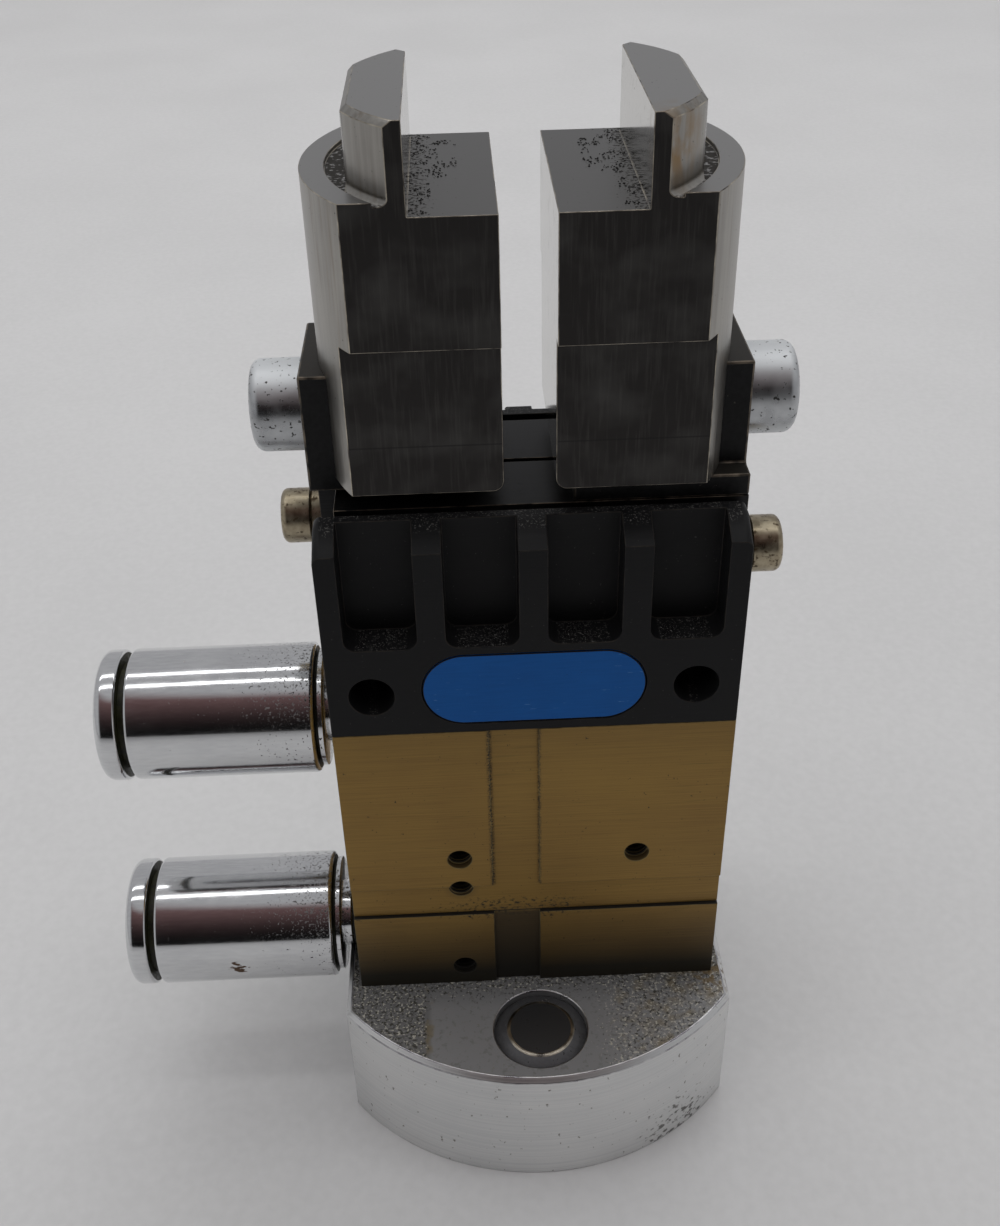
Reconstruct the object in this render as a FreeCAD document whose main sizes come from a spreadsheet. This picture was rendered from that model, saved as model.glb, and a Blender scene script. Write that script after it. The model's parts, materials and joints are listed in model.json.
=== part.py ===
"""Pneumatic parallel gripper on a round adapter flange, with two internal-grip fingers.

Millimetres. The origin is the centre of the flange's underside, +Z points up to the fingers,
+X runs along the jaw travel and -Y is the side with the name plate.
"""

import FreeCAD, Part
import os
import re
import Sketcher

Vector = FreeCAD.Vector
doc = FreeCAD.newDocument("parallel_gripper")
dims = doc.addObject("Spreadsheet::Sheet", "dims")

# Driving dimensions
SIZES = {
    "fit_gap": 0.05,
    "slide_gap": 0.1,
    "screw_room": 0.4,
    "head_sink": 0.5,
    "tap_run": 0.5,
    "screw_point": 0.2,
    "screw_grip": 8.0,
    "body_width": 38.9,
    "body_depth": 27.7,
    "flange_diameter": 54.4,
    "flange_margin": 1.55,
    "flange_thickness": 16.25,
    "flange_chamfer": 0.5,
    "pilot_diameter": 20.0,
    "pilot_depth": 5.0,
    "bolt_inset": 7.2,
    "bolt_bore": 5.0,
    "bolt_depth": 11.0,
    "dowel_diameter": 10.0,
    "dowel_flat": 6.5,
    "dowel_chamfer": 0.9,
    "dowel_length": 12.0,
    "dowel_inset": 6.7,
    "flange_screw_inset": 4.45,
    "flange_screw_depth": 6.5,
    "spring_housing_height": 10.8,
    "spring_floor": 2.25,
    "spring_step": 1.0,
    "spring_coil": 12.4,
    "spring_wire": 1.6,
    "spring_turns": 5.5,
    "base_screw_end_inset": 7.45,
    "base_screw_side_inset": 2.95,
    "base_screw_depth": 6.0,
    "gasket_width": 1.4,
    "gasket_height": 0.8,
    "gasket_margin": 0.5,
    "cylinder_height": 25.4,
    "cylinder_roof": 4.95,
    "cylinder_end_wall": 5.95,
    "cylinder_side_wall": 4.35,
    "strip_width": 4.87,
    "strip_place": -2.04,
    "strip_depth": 0.4,
    "band_height": 4.2,
    "tap_bore": 2.5,
    "tap_depth": 3.0,
    "left_tap_x": 7.85,
    "right_tap_x": 10.45,
    "high_tap_rise": 8.25,
    "low_tap_rise": 3.8,
    "base_tap_rise": 2.7,
    "guide_height": 21.85,
    "channel_depth": 14.3,
    "channel_wall": 4.57,
    "rib_width": 2.65,
    "rib_inset": 0.71,
    "rib_depth": 3.46,
    "rib_drop": 1.55,
    "rib_land": 0.6,
    "rib_corner": 0.7,
    "pocket_height": 11.8,
    "pocket_corner": 1.2,
    "side_hole": 4.3,
    "side_hole_inset": 4.15,
    "side_hole_rise": 4.65,
    "plate_length": 21.0,
    "plate_height": 8.0,
    "plate_rise": 5.1,
    "plate_thickness": 0.5,
    "plate_gap": 0.1,
    "guide_screw_x": 9.8,
    "guide_screw_y": 6.0,
    "guide_screw_depth": 4.0,
    "strip_gap": 0.95,
    "strip_top": 1.5,
    "tongue_height": 2.4,
    "tongue_reach": 0.93,
    "tongue_rise": 5.6,
    "piston_height": 9.0,
    "piston_top_gap": 5.0,
    "piston_recess": 2.5,
    "piston_seal_height": 3.0,
    "piston_seal_width": 2.0,
    "magnet_diameter": 5.0,
    "magnet_height": 2.5,
    "magnet_inset": 4.2,
    "rod_diameter": 10.0,
    "rod_seal_diameter": 14.0,
    "rod_seal_height": 3.0,
    "rod_room": 0.5,
    "rod_joint": 2.05,
    "driver_width": 10.0,
    "driver_thickness": 3.0,
    "driver_height": 17.5,
    "driver_foot": 5.6,
    "driver_room": 0.3,
    "key_height": 7.5,
    "key_width": 3.2,
    "key_reach": 3.0,
    "key_slope": 0.5,
    "jaw_stroke": 2.0,
    "stroke_room": 0.2,
    "rail_overhang": 0.45,
    "rail_gap": 0.6,
    "rail_lift": 0.25,
    "rail_step": 0.1,
    "foot_thickness": 2.2,
    "foot_length": 15.9,
    "upright_thickness": 3.8,
    "upright_width": 12.0,
    "upright_height": 11.3,
    "upright_lift": 0.8,
    "foot_screw_inset": 6.4,
    "foot_screw_spacing": 6.0,
    "foot_screw_grip": 3.8,
    "foot_screw_sink": 0.2,
    "end_screw_rise": 6.5,
    "end_washer": 1.2,
    "washer_step": 0.1,
    "finger_gap": 4.6,
    "finger_setback": 1.5,
    "finger_depth": 22.2,
    "finger_base_depth": 19.2,
    "finger_base_height": 14.2,
    "finger_height": 25.3,
    "finger_corner": 1.0,
    "shoulder_rise": 1.2,
    "groove_depth": 0.35,
    "groove_width": 0.8,
    "groove_round": 0.6,
    "blade_step": 2.9,
    "blade_thickness": 6.1,
    "blade_flat": 1.3,
    "blade_height": 7.3,
    "blade_chamfer": 0.5,
    "blade_corner": 0.9,
    "finger_screw_rise": 4.5,
    "port_thread": 5.0,
    "port_land": 1.45,
    "upper_port_drop": 2.3,
    "lower_port_inset": 7.55,
    "lower_port_rise": 3.95,
    "fitting_diameter": 13.9,
    "fitting_neck": 7.4,
    "fitting_neck_length": 1.85,
    "fitting_length": 20.3,
    "fitting_ring_step": 0.7,
    "fitting_ring_width": 0.6,
    "fitting_groove_step": 1.4,
    "fitting_groove_width": 0.3,
    "fitting_chamfer": 0.5,
    "fitting_seal": 0.8,
    "fitting_seal_step": 0.2,
    "tube_diameter": 6.0,
    "tube_stop": 6.0,
    "tube_gap": 0.1,
    "tube_seal_section": 1.6,
    "tube_seal_room": 1.8,
    "tube_seal_shelf": 5.5,
    "tube_seal_rise": 6.5,
    "grab_rise": 7.8,
    "grab_lean": 0.4,
    "grab_thickness": 0.8,
    "grab_gap": 0.2,
    "mouth_depth": 5.0,
    "mouth_gap": 0.15,
    "collar_gap": 0.8,
    "collar_head": 2.3,
    "collar_neck": 11.2,
    "collar_depth": 6.2,
    "collar_shoulder": 3.5,
    "collar_edge": 0.3,
    "collar_round": 0.9,
    "collar_lead": 0.5,
}

for row, (alias, value) in enumerate(SIZES.items(), 1):
    dims.set(f"A{row}", alias)
    dims.set(f"B{row}", str(value))
    dims.setAlias(f"B{row}", alias)
doc.recompute()

# Heads and shanks of the socket screws, by thread size
SCREWS = {
    "M2_5": {"shank": 2.5, "head": 4.5, "rise": 2.5, "socket": 2.0},
    "M3": {"shank": 3.0, "head": 5.5, "rise": 3.0, "socket": 2.5},
    "M4": {"shank": 4.0, "head": 7.0, "rise": 4.0, "socket": 3.0},
    "M5": {"shank": 5.0, "head": 8.5, "rise": 4.9, "socket": 4.0},
}
screw_row = len(SIZES)
for size, parts_of_screw in SCREWS.items():
    for name, value in parts_of_screw.items():
        screw_row += 1
        dims.set(f"A{screw_row}", f"{size}_{name}")
        dims.set(f"B{screw_row}", str(value))
        dims.setAlias(f"B{screw_row}", f"{size}_{name}")
doc.recompute()
ALIASES = set(SIZES) | {f"{size}_{name}" for size, values in SCREWS.items() for name in values}

# Levels and sizes that several pieces share
HALF_W = "(body_width / 2)"
HALF_D = "(body_depth / 2)"
Z_SPRING = "flange_thickness"
Z_CYLINDER = f"({Z_SPRING} + spring_housing_height)"
Z_GUIDE = f"({Z_CYLINDER} + cylinder_height)"
Z_TOP = f"({Z_GUIDE} + guide_height)"
Z_CHANNEL = f"({Z_TOP} - channel_depth)"
Z_ROOF = f"({Z_GUIDE} - cylinder_roof)"
Z_PISTON = f"({Z_ROOF} - piston_top_gap)"
Z_ROD = f"({Z_GUIDE} + rod_joint)"
Z_DRIVER = f"({Z_ROD} + driver_height)"
Z_KEY = f"({Z_DRIVER} - key_height)"
Z_RAIL = f"({Z_CHANNEL} + rail_lift)"
Z_RAIL_TOP = f"({Z_TOP} - rail_step)"
Z_FINGER = f"({Z_RAIL_TOP} + foot_thickness)"
Z_UPRIGHT = f"({Z_RAIL_TOP} + upright_lift)"
Z_UPRIGHT_TOP = f"({Z_UPRIGHT} + upright_height)"
Z_BLOCK = f"({Z_FINGER} + finger_height)"
Z_SHOULDER = f"({Z_BLOCK} + shoulder_rise)"
Z_BLADE = f"({Z_BLOCK} + blade_height)"
Z_END_SCREW = f"({Z_CHANNEL} + end_screw_rise)"
Z_UPPER_PORT = f"({Z_ROOF} - upper_port_drop)"
Z_LOWER_PORT = f"({Z_SPRING} + lower_port_rise)"
Y_LOWER_PORT = f"(-{HALF_D} + lower_port_inset)"
PORT_DEPTH = "(cylinder_end_wall - port_land)"
BORE_LENGTH = "(body_width - 2 * cylinder_end_wall)"
BORE_WIDTH = "(body_depth - 2 * cylinder_side_wall)"
X_MAGNET = f"({BORE_LENGTH} / 2 - magnet_inset)"
SPRING_POCKET = f"({BORE_WIDTH} - 2 * spring_step)"
RIB_PITCH = "((body_width - 2 * rib_inset) / 4)"
Y_CHANNEL = f"({HALF_D} - channel_wall)"
Y_STRIP = f"({Y_CHANNEL} - strip_gap)"
Y_RAIL = f"({Y_STRIP} - slide_gap)"
Y_RAIL_MIDDLE = f"((rail_gap / 2 + {Y_RAIL}) / 2)"
X_JAW = f"({HALF_W} + rail_overhang)"
X_UPRIGHT = f"({X_JAW} - upright_thickness)"
X_FOOT_SCREWS = (f"({X_JAW} - foot_screw_inset - foot_screw_spacing)", f"({X_JAW} - foot_screw_inset)")
X_FLANGE_SCREW = f"({HALF_W} - flange_screw_inset)"
Y_DOWEL = "(flange_diameter / 2 - dowel_inset)"
FINGER_RADIUS = f"({X_JAW} - finger_setback)"
BLADE_RADIUS = f"({FINGER_RADIUS} - blade_step)"
CORNERS = ((-1, -1), (1, -1), (1, 1), (-1, 1))
X_BASE_SCREW = f"({HALF_W} - base_screw_end_inset)"
Y_BASE_SCREW = f"({HALF_D} - base_screw_side_inset)"
BASE_SCREWS = [(f"{i} * {X_BASE_SCREW}", f"{j} * {Y_BASE_SCREW}") for i, j in CORNERS]
GUIDE_SCREWS = [(f"{i} * guide_screw_x", f"{j} * guide_screw_y") for i, j in CORNERS]

# How far two places may differ and still count as the same
NEAR = 1e-3
exported = []


def sized(text):
    """The expression with the sheet's name put before each alias."""

    def named(word):
        return f"dims.{word[0]}" if word[0] in ALIASES else word[0]

    return re.sub(r"[A-Za-z_]\w*", named, text)


def number(text):
    """What the expression comes to with the sheet's present values."""
    return float(dims.evalExpression(sized(text)))


def bind(item, path, text):
    item.setExpression(path, sized(text))


# Sketch outlines: each is a function that draws itself into a sketch
def fix_point(sketch, geometry, vertex, x, y):
    """Hold a point of a sketch at two expressions, measured from the sketch's origin."""
    for kind, text in (("DistanceX", x), ("DistanceY", y)):
        index = sketch.addConstraint(Sketcher.Constraint(kind, -1, 1, geometry, vertex, number(text)))
        if text != "0":
            bind(sketch, f"Constraints[{index}]", text)


def circle(x, y, diameter):
    def draw(sketch):
        ring = Part.Circle(Vector(number(x), number(y)), Vector(0, 0, 1), number(diameter) / 2)
        index = sketch.addGeometry(ring, False)
        fix_point(sketch, index, 3, x, y)
        size = sketch.addConstraint(Sketcher.Constraint("Diameter", index, number(diameter)))
        bind(sketch, f"Constraints[{size}]", diameter)

    return draw


def polygon(*corners):
    """Straight sides through the corners; a third entry rounds a corner of level and upright sides."""

    def toward(here, there, radius):
        shifted = []
        for a, b in zip(here[:2], there[:2]):
            way = number(b) - number(a)
            sign = 0 if abs(way) < 1e-9 else (1 if way > 0 else -1)
            shifted.append(f"({a}) + {sign} * ({radius})" if sign else a)
        return tuple(shifted)

    def draw(sketch):
        ends = []
        previous, following = corners[-1:] + corners[:-1], corners[1:] + corners[:1]
        for here, before, after in zip(corners, previous, following):
            if len(here) == 3:
                ends.append((toward(here, before, here[2]), toward(here, after, here[2]), here))
            else:
                ends.append((here, here, None))
        lines = []
        for (_, start, _), (stop, _, _) in zip(ends, ends[1:] + ends[:1]):
            a = Vector(number(start[0]), number(start[1]))
            b = Vector(number(stop[0]), number(stop[1]))
            lines.append(sketch.addGeometry(Part.LineSegment(a, b), False))
        for place, (arrive, leave, rounded) in enumerate(ends):
            coming, going = lines[place - 1], lines[place]
            fix_point(sketch, going, 1, *leave)
            if rounded is None:
                sketch.addConstraint(Sketcher.Constraint("Coincident", coming, 2, going, 1))
                continue
            fix_point(sketch, coming, 2, *arrive)
            a = Vector(number(arrive[0]), number(arrive[1]))
            b = Vector(number(leave[0]), number(leave[1]))
            tip = Vector(number(rounded[0]), number(rounded[1]))
            centre = a + b - tip
            middle = centre + (tip - centre).normalize() * number(rounded[2])
            arc = sketch.addGeometry(Part.Arc(a, middle, b), False)
            first = 1 if sketch.Geometry[arc].StartPoint.distanceToPoint(a) < 1e-6 else 2
            sketch.addConstraint(Sketcher.Constraint("Coincident", arc, first, coming, 2))
            sketch.addConstraint(Sketcher.Constraint("Coincident", arc, 3 - first, going, 1))
            size = sketch.addConstraint(Sketcher.Constraint("Radius", arc, number(rounded[2])))
            bind(sketch, f"Constraints[{size}]", rounded[2])

    return draw


def rectangle(x0, x1, y0, y1):
    return polygon((x0, y0), (x1, y0), (x1, y1), (x0, y1))


def stadium(x, y, length, width):
    """A long round-ended outline, lying along the sketch's first axis."""
    reach = f"((({length}) - ({width})) / 2)"

    def draw(sketch):
        r, c = number(width) / 2, number(reach)
        mid = Vector(number(x), number(y))
        low = sketch.addGeometry(Part.LineSegment(mid + Vector(-c, -r), mid + Vector(c, -r)), False)
        high = sketch.addGeometry(Part.LineSegment(mid + Vector(c, r), mid + Vector(-c, r)), False)
        right = sketch.addGeometry(
            Part.Arc(mid + Vector(c, -r), mid + Vector(c + r, 0), mid + Vector(c, r)), False
        )
        left = sketch.addGeometry(
            Part.Arc(mid + Vector(-c, r), mid + Vector(-c - r, 0), mid + Vector(-c, -r)), False
        )
        for one, end, other in ((low, 2, right), (right, 2, high), (high, 2, left), (left, 2, low)):
            sketch.addConstraint(Sketcher.Constraint("Tangent", one, end, other, 1))
        fix_point(sketch, right, 3, f"({x}) + {reach}", y)
        fix_point(sketch, left, 3, f"({x}) - {reach}", y)
        size = sketch.addConstraint(Sketcher.Constraint("Radius", right, r))
        bind(sketch, f"Constraints[{size}]", f"({width}) / 2")

    return draw


def hexagon(x, y, across):
    """A hexagon with two corners on the first axis, given its width across the flats."""
    reach = f"({across}) / sqrt(3)"
    signs = ((1, 0), (0.5, 1), (-0.5, 1), (-1, 0), (-0.5, -1), (0.5, -1))
    return polygon(
        *((f"({x}) + {i} * {reach}", f"({y}) + {j} * ({across}) / 2" if j else y) for i, j in signs)
    )


# Features: the plane names the two sketch axes, and low and high are places along the third one
def new_body(label):
    body = doc.addObject("PartDesign::Body", label)
    body.Label = label
    return body


def new_sketch(body, plane, level, outlines):
    sketch = body.newObject("Sketcher::SketchObject", f"{body.Name}_sketch")
    origin = [item for item in body.Origin.OriginFeatures if item.Role == f"{plane}_Plane"][0]
    sketch.AttachmentSupport = [(origin, "")]
    sketch.MapMode = "FlatFace"
    # the XZ plane faces -Y
    bind(sketch, "AttachmentOffset.Base.z", f"-({level})" if plane == "XZ" else level)
    for draw in outlines:
        draw(sketch)
    return sketch


def add(body, plane, low, high, *outlines):
    sketch = new_sketch(body, plane, high if plane == "XZ" else low, outlines)
    pad = body.newObject("PartDesign::Pad", f"{body.Name}_pad")
    pad.Profile = sketch
    bind(pad, "Length", f"({high}) - ({low})")
    doc.recompute()
    return pad


def cut(body, plane, low, high, *outlines):
    sketch = new_sketch(body, plane, low if plane == "XZ" else high, outlines)
    before = body.Shape.Volume
    pocket = body.newObject("PartDesign::Pocket", f"{body.Name}_pocket")
    pocket.Profile = sketch
    bind(pocket, "Length", f"({high}) - ({low})")
    doc.recompute()
    if not body.Shape.Volume < before:
        raise RuntimeError(f"a pocket of {body.Label} cuts nothing")
    return pocket


def along(body, feature, axis, length, count):
    """Repeat a feature along an axis of its body."""
    pattern = body.newObject("PartDesign::LinearPattern", f"{body.Name}_row")
    pattern.Originals = [feature]
    line = [item for item in body.Origin.OriginFeatures if item.Role == f"{axis}_Axis"][0]
    pattern.Direction = (line, [""])
    bind(pattern, "Length", length)
    pattern.Occurrences = count
    body.Tip = pattern
    doc.recompute()
    return pattern


def dress(body, kind, size, wanted):
    """Fillet or chamfer the edges for which wanted(edge) holds."""
    base = body.Tip
    names = [f"Edge{i}" for i, edge in enumerate(base.Shape.Edges, 1) if wanted(edge)]
    if not names:
        raise RuntimeError(f"no edge of {body.Label} to dress")
    feature = body.newObject(f"PartDesign::{kind}", f"{body.Name}_{kind}")
    feature.Base = (base, names)
    bind(feature, "Radius" if kind == "Fillet" else "Size", size)
    doc.recompute()
    return feature


def on_level(edge, axis, text):
    """Whether an edge lies at one place along an axis."""
    box, place = edge.BoundBox, number(text)
    low, high = {"x": (box.XMin, box.XMax), "y": (box.YMin, box.YMax), "z": (box.ZMin, box.ZMax)}[axis]
    return abs(low - place) < NEAR and abs(high - place) < NEAR


def turned(label, profile, x="0", y="0", z="0", axis=(0, 0, 1)):
    """A turned piece: radius and height pairs spun round the piece's own axis, then set in place."""
    body = new_body(label)
    sketch = new_sketch(body, "XZ", "0", [polygon(*profile)])
    spin = body.newObject("PartDesign::Revolution", f"{body.Name}_spin")
    spin.Profile = sketch
    spin.ReferenceAxis = (sketch, ["V_Axis"])
    spin.Angle = 360
    body.Placement.Rotation = FreeCAD.Rotation(Vector(0, 0, 1), Vector(*axis))
    for part_of_place, text in (("x", x), ("y", y), ("z", z)):
        if text != "0":
            bind(body, f"Placement.Base.{part_of_place}", text)
    doc.recompute()
    return body


def socket_screw(label, size, length, x, y, z, axis):
    """A cap screw seated under its head at x, y, z, with its head on the side the axis points to."""
    shank, head, rise, socket = (f"{size}_{name}" for name in ("shank", "head", "rise", "socket"))
    profile = (
        ("0", f"-({length})"),
        (f"{shank} / 2 - fit_gap - screw_point", f"-({length})"),
        (f"{shank} / 2 - fit_gap", f"-({length}) + screw_point"),
        (f"{shank} / 2 - fit_gap", "0"),
        (f"{head} / 2", "0"),
        (f"{head} / 2", f"{rise} - 0.12 * {head}"),
        (f"{head} / 2 - 0.04 * {head}", f"{rise} - 0.04 * {head}"),
        (f"{head} / 2 - 0.12 * {head}", rise),
        ("0", rise),
    )
    body = turned(label, profile, x, y, z, axis)
    cut(body, "XY", f"{rise} - 0.5 * {rise}", rise, hexagon("0", "0", socket))
    return body


def publish(item):
    exported.append(item)
    return item


def group(label, items):
    """Identical loose pieces that share one node."""
    compound = doc.addObject("Part::Compound", label)
    compound.Label = label
    compound.Links = items
    doc.recompute()
    return publish(compound)


# Adapter flange: a disc with two flats, turned and then drilled from below
def adapter_flange():
    body = new_body("mounting_flange")
    add(body, "XY", "0", Z_SPRING, circle("0", "0", "flange_diameter"))
    for side in (-1, 1):
        edge, out = f"{side} * ({HALF_W} + flange_margin)", f"{side} * flange_diameter"
        cut(body, "XY", "0", Z_SPRING, rectangle(edge, out, "-flange_diameter", "flange_diameter"))
    dress(body, "Chamfer", "flange_chamfer", lambda edge: on_level(edge, "z", Z_SPRING))
    cut(body, "XY", "0", "pilot_depth", circle("0", "0", "pilot_diameter"))
    reach = "(flange_diameter / 2 - bolt_inset) / sqrt(2)"
    bolts = [circle(f"{i} * {reach}", f"{j} * {reach}", "bolt_bore") for i, j in CORNERS]
    cut(body, "XY", "0", "bolt_depth", *bolts)
    dowels = [circle("0", f"{side} * {Y_DOWEL}", "dowel_diameter") for side in (-1, 1)]
    cut(body, "XY", f"{Z_SPRING} - dowel_length", Z_SPRING, *dowels)
    heads = [circle(f"{side} * {X_FLANGE_SCREW}", "0", "M5_head + screw_room") for side in (-1, 1)]
    cut(body, "XY", "0", "M5_rise + head_sink", *heads)
    shanks = [circle(f"{side} * {X_FLANGE_SCREW}", "0", "M5_shank + screw_room") for side in (-1, 1)]
    cut(body, "XY", "0", Z_SPRING, *shanks)
    return publish(body)


def flange_dowels():
    """Flush dowels with a bevelled end."""
    pins = []
    for name, side in (("front_dowel", -1), ("rear_dowel", 1)):
        profile = (
            ("0", "-dowel_length"),
            ("dowel_diameter / 2", "-dowel_length"),
            ("dowel_diameter / 2", "-dowel_chamfer"),
            ("dowel_flat / 2", "0"),
            ("0", "0"),
        )
        pins.append(turned(name, profile, "0", f"{side} * {Y_DOWEL}", Z_SPRING))
    return group("flange_dowels", pins)


def flange_screws():
    seat = "(M5_rise + head_sink)"
    length = f"{Z_SPRING} - {seat} + flange_screw_depth"
    screws = [
        socket_screw(f"flange_screw_{n}", "M5", length, f"{side} * {X_FLANGE_SCREW}", "0", seat, (0, 0, -1))
        for n, side in enumerate((-1, 1), 1)
    ]
    return group("flange_screws", screws)


# Lower gold block: the spring pocket, the lower air port and the screw holes
def spring_housing():
    body = new_body("spring_housing")
    add(body, "XY", Z_SPRING, Z_CYLINDER, rectangle(f"-{HALF_W}", HALF_W, f"-{HALF_D}", HALF_D))
    cut(body, "XY", f"{Z_SPRING} + spring_floor", Z_CYLINDER, circle("0", "0", SPRING_POCKET))
    strip = rectangle("strip_place - strip_width / 2", "strip_place + strip_width / 2", Z_SPRING, Z_CYLINDER)
    cut(body, "XZ", f"-{HALF_D}", f"-{HALF_D} + strip_depth", strip)
    tap = circle("-left_tap_x", f"{Z_SPRING} + base_tap_rise", "tap_bore")
    cut(body, "XZ", f"-{HALF_D}", f"-{HALF_D} + tap_depth", tap)
    port = circle(Y_LOWER_PORT, Z_LOWER_PORT, "port_thread")
    cut(body, "YZ", f"-{HALF_W}", f"-{HALF_W} + {PORT_DEPTH} + tap_run", port)
    cut(body, "YZ", f"-{HALF_W}", "0", circle(Y_LOWER_PORT, Z_LOWER_PORT, "tube_diameter / 2"))
    taps = [circle(f"{side} * {X_FLANGE_SCREW}", "0", "M5_shank") for side in (-1, 1)]
    cut(body, "XY", Z_SPRING, f"{Z_SPRING} + flange_screw_depth + tap_run", *taps)
    shanks = [circle(x, y, "M2_5_shank + screw_room") for x, y in BASE_SCREWS]
    cut(body, "XY", Z_SPRING, Z_CYLINDER, *shanks)
    heads = [circle(x, y, "M2_5_head + screw_room") for x, y in BASE_SCREWS]
    cut(body, "XY", Z_SPRING, f"{Z_SPRING} + M2_5_rise + head_sink", *heads)
    ring = [f"{bore} + 2 * gasket_margin + 2 * gasket_width" for bore in (BORE_LENGTH, BORE_WIDTH)]
    hole = [f"{bore} + 2 * gasket_margin" for bore in (BORE_LENGTH, BORE_WIDTH)]
    seat = (f"{Z_CYLINDER} - gasket_height", Z_CYLINDER)
    cut(body, "XY", *seat, stadium("0", "0", *ring), stadium("0", "0", *hole))
    return publish(body)


def base_screws():
    seat = f"({Z_SPRING} + M2_5_rise + head_sink)"
    length = f"{Z_CYLINDER} - {seat} + base_screw_depth"
    screws = [
        socket_screw(f"base_screw_{n}", "M2_5", length, x, y, seat, (0, 0, -1))
        for n, (x, y) in enumerate(BASE_SCREWS, 1)
    ]
    return group("base_screws", screws)


def cylinder_gasket():
    """The flat oval gasket that seals the spring housing to the cylinder."""
    body = new_body("cylinder_gasket")
    sizes = (BORE_LENGTH, BORE_WIDTH)
    ring = [f"{bore} + 2 * (gasket_margin + gasket_width - fit_gap)" for bore in sizes]
    hole = [f"{bore} + 2 * (gasket_margin + fit_gap)" for bore in sizes]
    seat = (f"{Z_CYLINDER} - gasket_height", Z_CYLINDER)
    add(body, "XY", *seat, stadium("0", "0", *ring), stadium("0", "0", *hole))
    return publish(body)


# Main gold block: the oval cylinder, its roof with the rod bore, and the front recesses
def cylinder_body():
    body = new_body("cylinder_body")
    add(body, "XY", Z_CYLINDER, Z_GUIDE, rectangle(f"-{HALF_W}", HALF_W, f"-{HALF_D}", HALF_D))
    cut(body, "XY", Z_CYLINDER, Z_ROOF, stadium("0", "0", BORE_LENGTH, BORE_WIDTH))
    cut(body, "XY", Z_CYLINDER, Z_GUIDE, circle("0", "0", "rod_diameter + 2 * fit_gap"))
    cut(body, "XY", f"{Z_GUIDE} - rod_seal_height", Z_GUIDE, circle("0", "0", "rod_seal_diameter"))
    strip = rectangle("strip_place - strip_width / 2", "strip_place + strip_width / 2", Z_CYLINDER, Z_GUIDE)
    cut(body, "XZ", f"-{HALF_D}", f"-{HALF_D} + strip_depth", strip)
    band = rectangle(f"-{HALF_W}", HALF_W, Z_CYLINDER, f"{Z_CYLINDER} + band_height")
    cut(body, "XZ", f"-{HALF_D}", f"-{HALF_D} + strip_depth", band)
    high, low = f"{Z_CYLINDER} + high_tap_rise", f"{Z_CYLINDER} + low_tap_rise"
    places = (("-left_tap_x", high), ("-left_tap_x", low), ("right_tap_x", high))
    taps = [circle(x, z, "tap_bore") for x, z in places]
    cut(body, "XZ", f"-{HALF_D}", f"-{HALF_D} + tap_depth", *taps)
    port = circle("0", Z_UPPER_PORT, "port_thread")
    cut(body, "YZ", f"-{HALF_W}", f"-{HALF_W} + {PORT_DEPTH} + tap_run", port)
    cut(body, "YZ", f"-{HALF_W}", "0", circle("0", Z_UPPER_PORT, "tube_diameter / 2"))
    taps = [circle(x, y, "M2_5_shank") for x, y in BASE_SCREWS]
    cut(body, "XY", Z_CYLINDER, f"{Z_CYLINDER} + base_screw_depth + tap_run", *taps)
    taps = [circle(x, y, "M3_shank") for x, y in GUIDE_SCREWS]
    cut(body, "XY", f"{Z_GUIDE} - guide_screw_depth - tap_run", Z_GUIDE, *taps)
    return publish(body)


def rod_seal():
    """A lip seal with a groove between its two lips."""
    lip = "(rod_seal_diameter - rod_diameter) / 6"
    profile = (
        ("rod_diameter / 2 + fit_gap", "-rod_seal_height"),
        ("rod_seal_diameter / 2 - fit_gap", "-rod_seal_height"),
        ("rod_seal_diameter / 2 - fit_gap", "0"),
        (f"rod_seal_diameter / 2 - {lip}", "0"),
        ("(rod_diameter + rod_seal_diameter) / 4", "-rod_seal_height / 3"),
        (f"rod_diameter / 2 + {lip}", "0"),
        ("rod_diameter / 2 + fit_gap", "0"),
    )
    return publish(turned("rod_seal", profile, z=Z_GUIDE))


# Black guide housing: channel for the rails, ribbed faces with sloping rib caps, side holes
def end_of_cap(edge):
    """Whether an edge is one of the housing's four outer top ends."""
    at_end = on_level(edge, "x", HALF_W) or on_level(edge, "x", f"-{HALF_W}")
    above = edge.BoundBox.ZMin > number(f"{Z_TOP} - rib_drop") - NEAR
    return at_end and above and edge.BoundBox.YLength > NEAR


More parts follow.
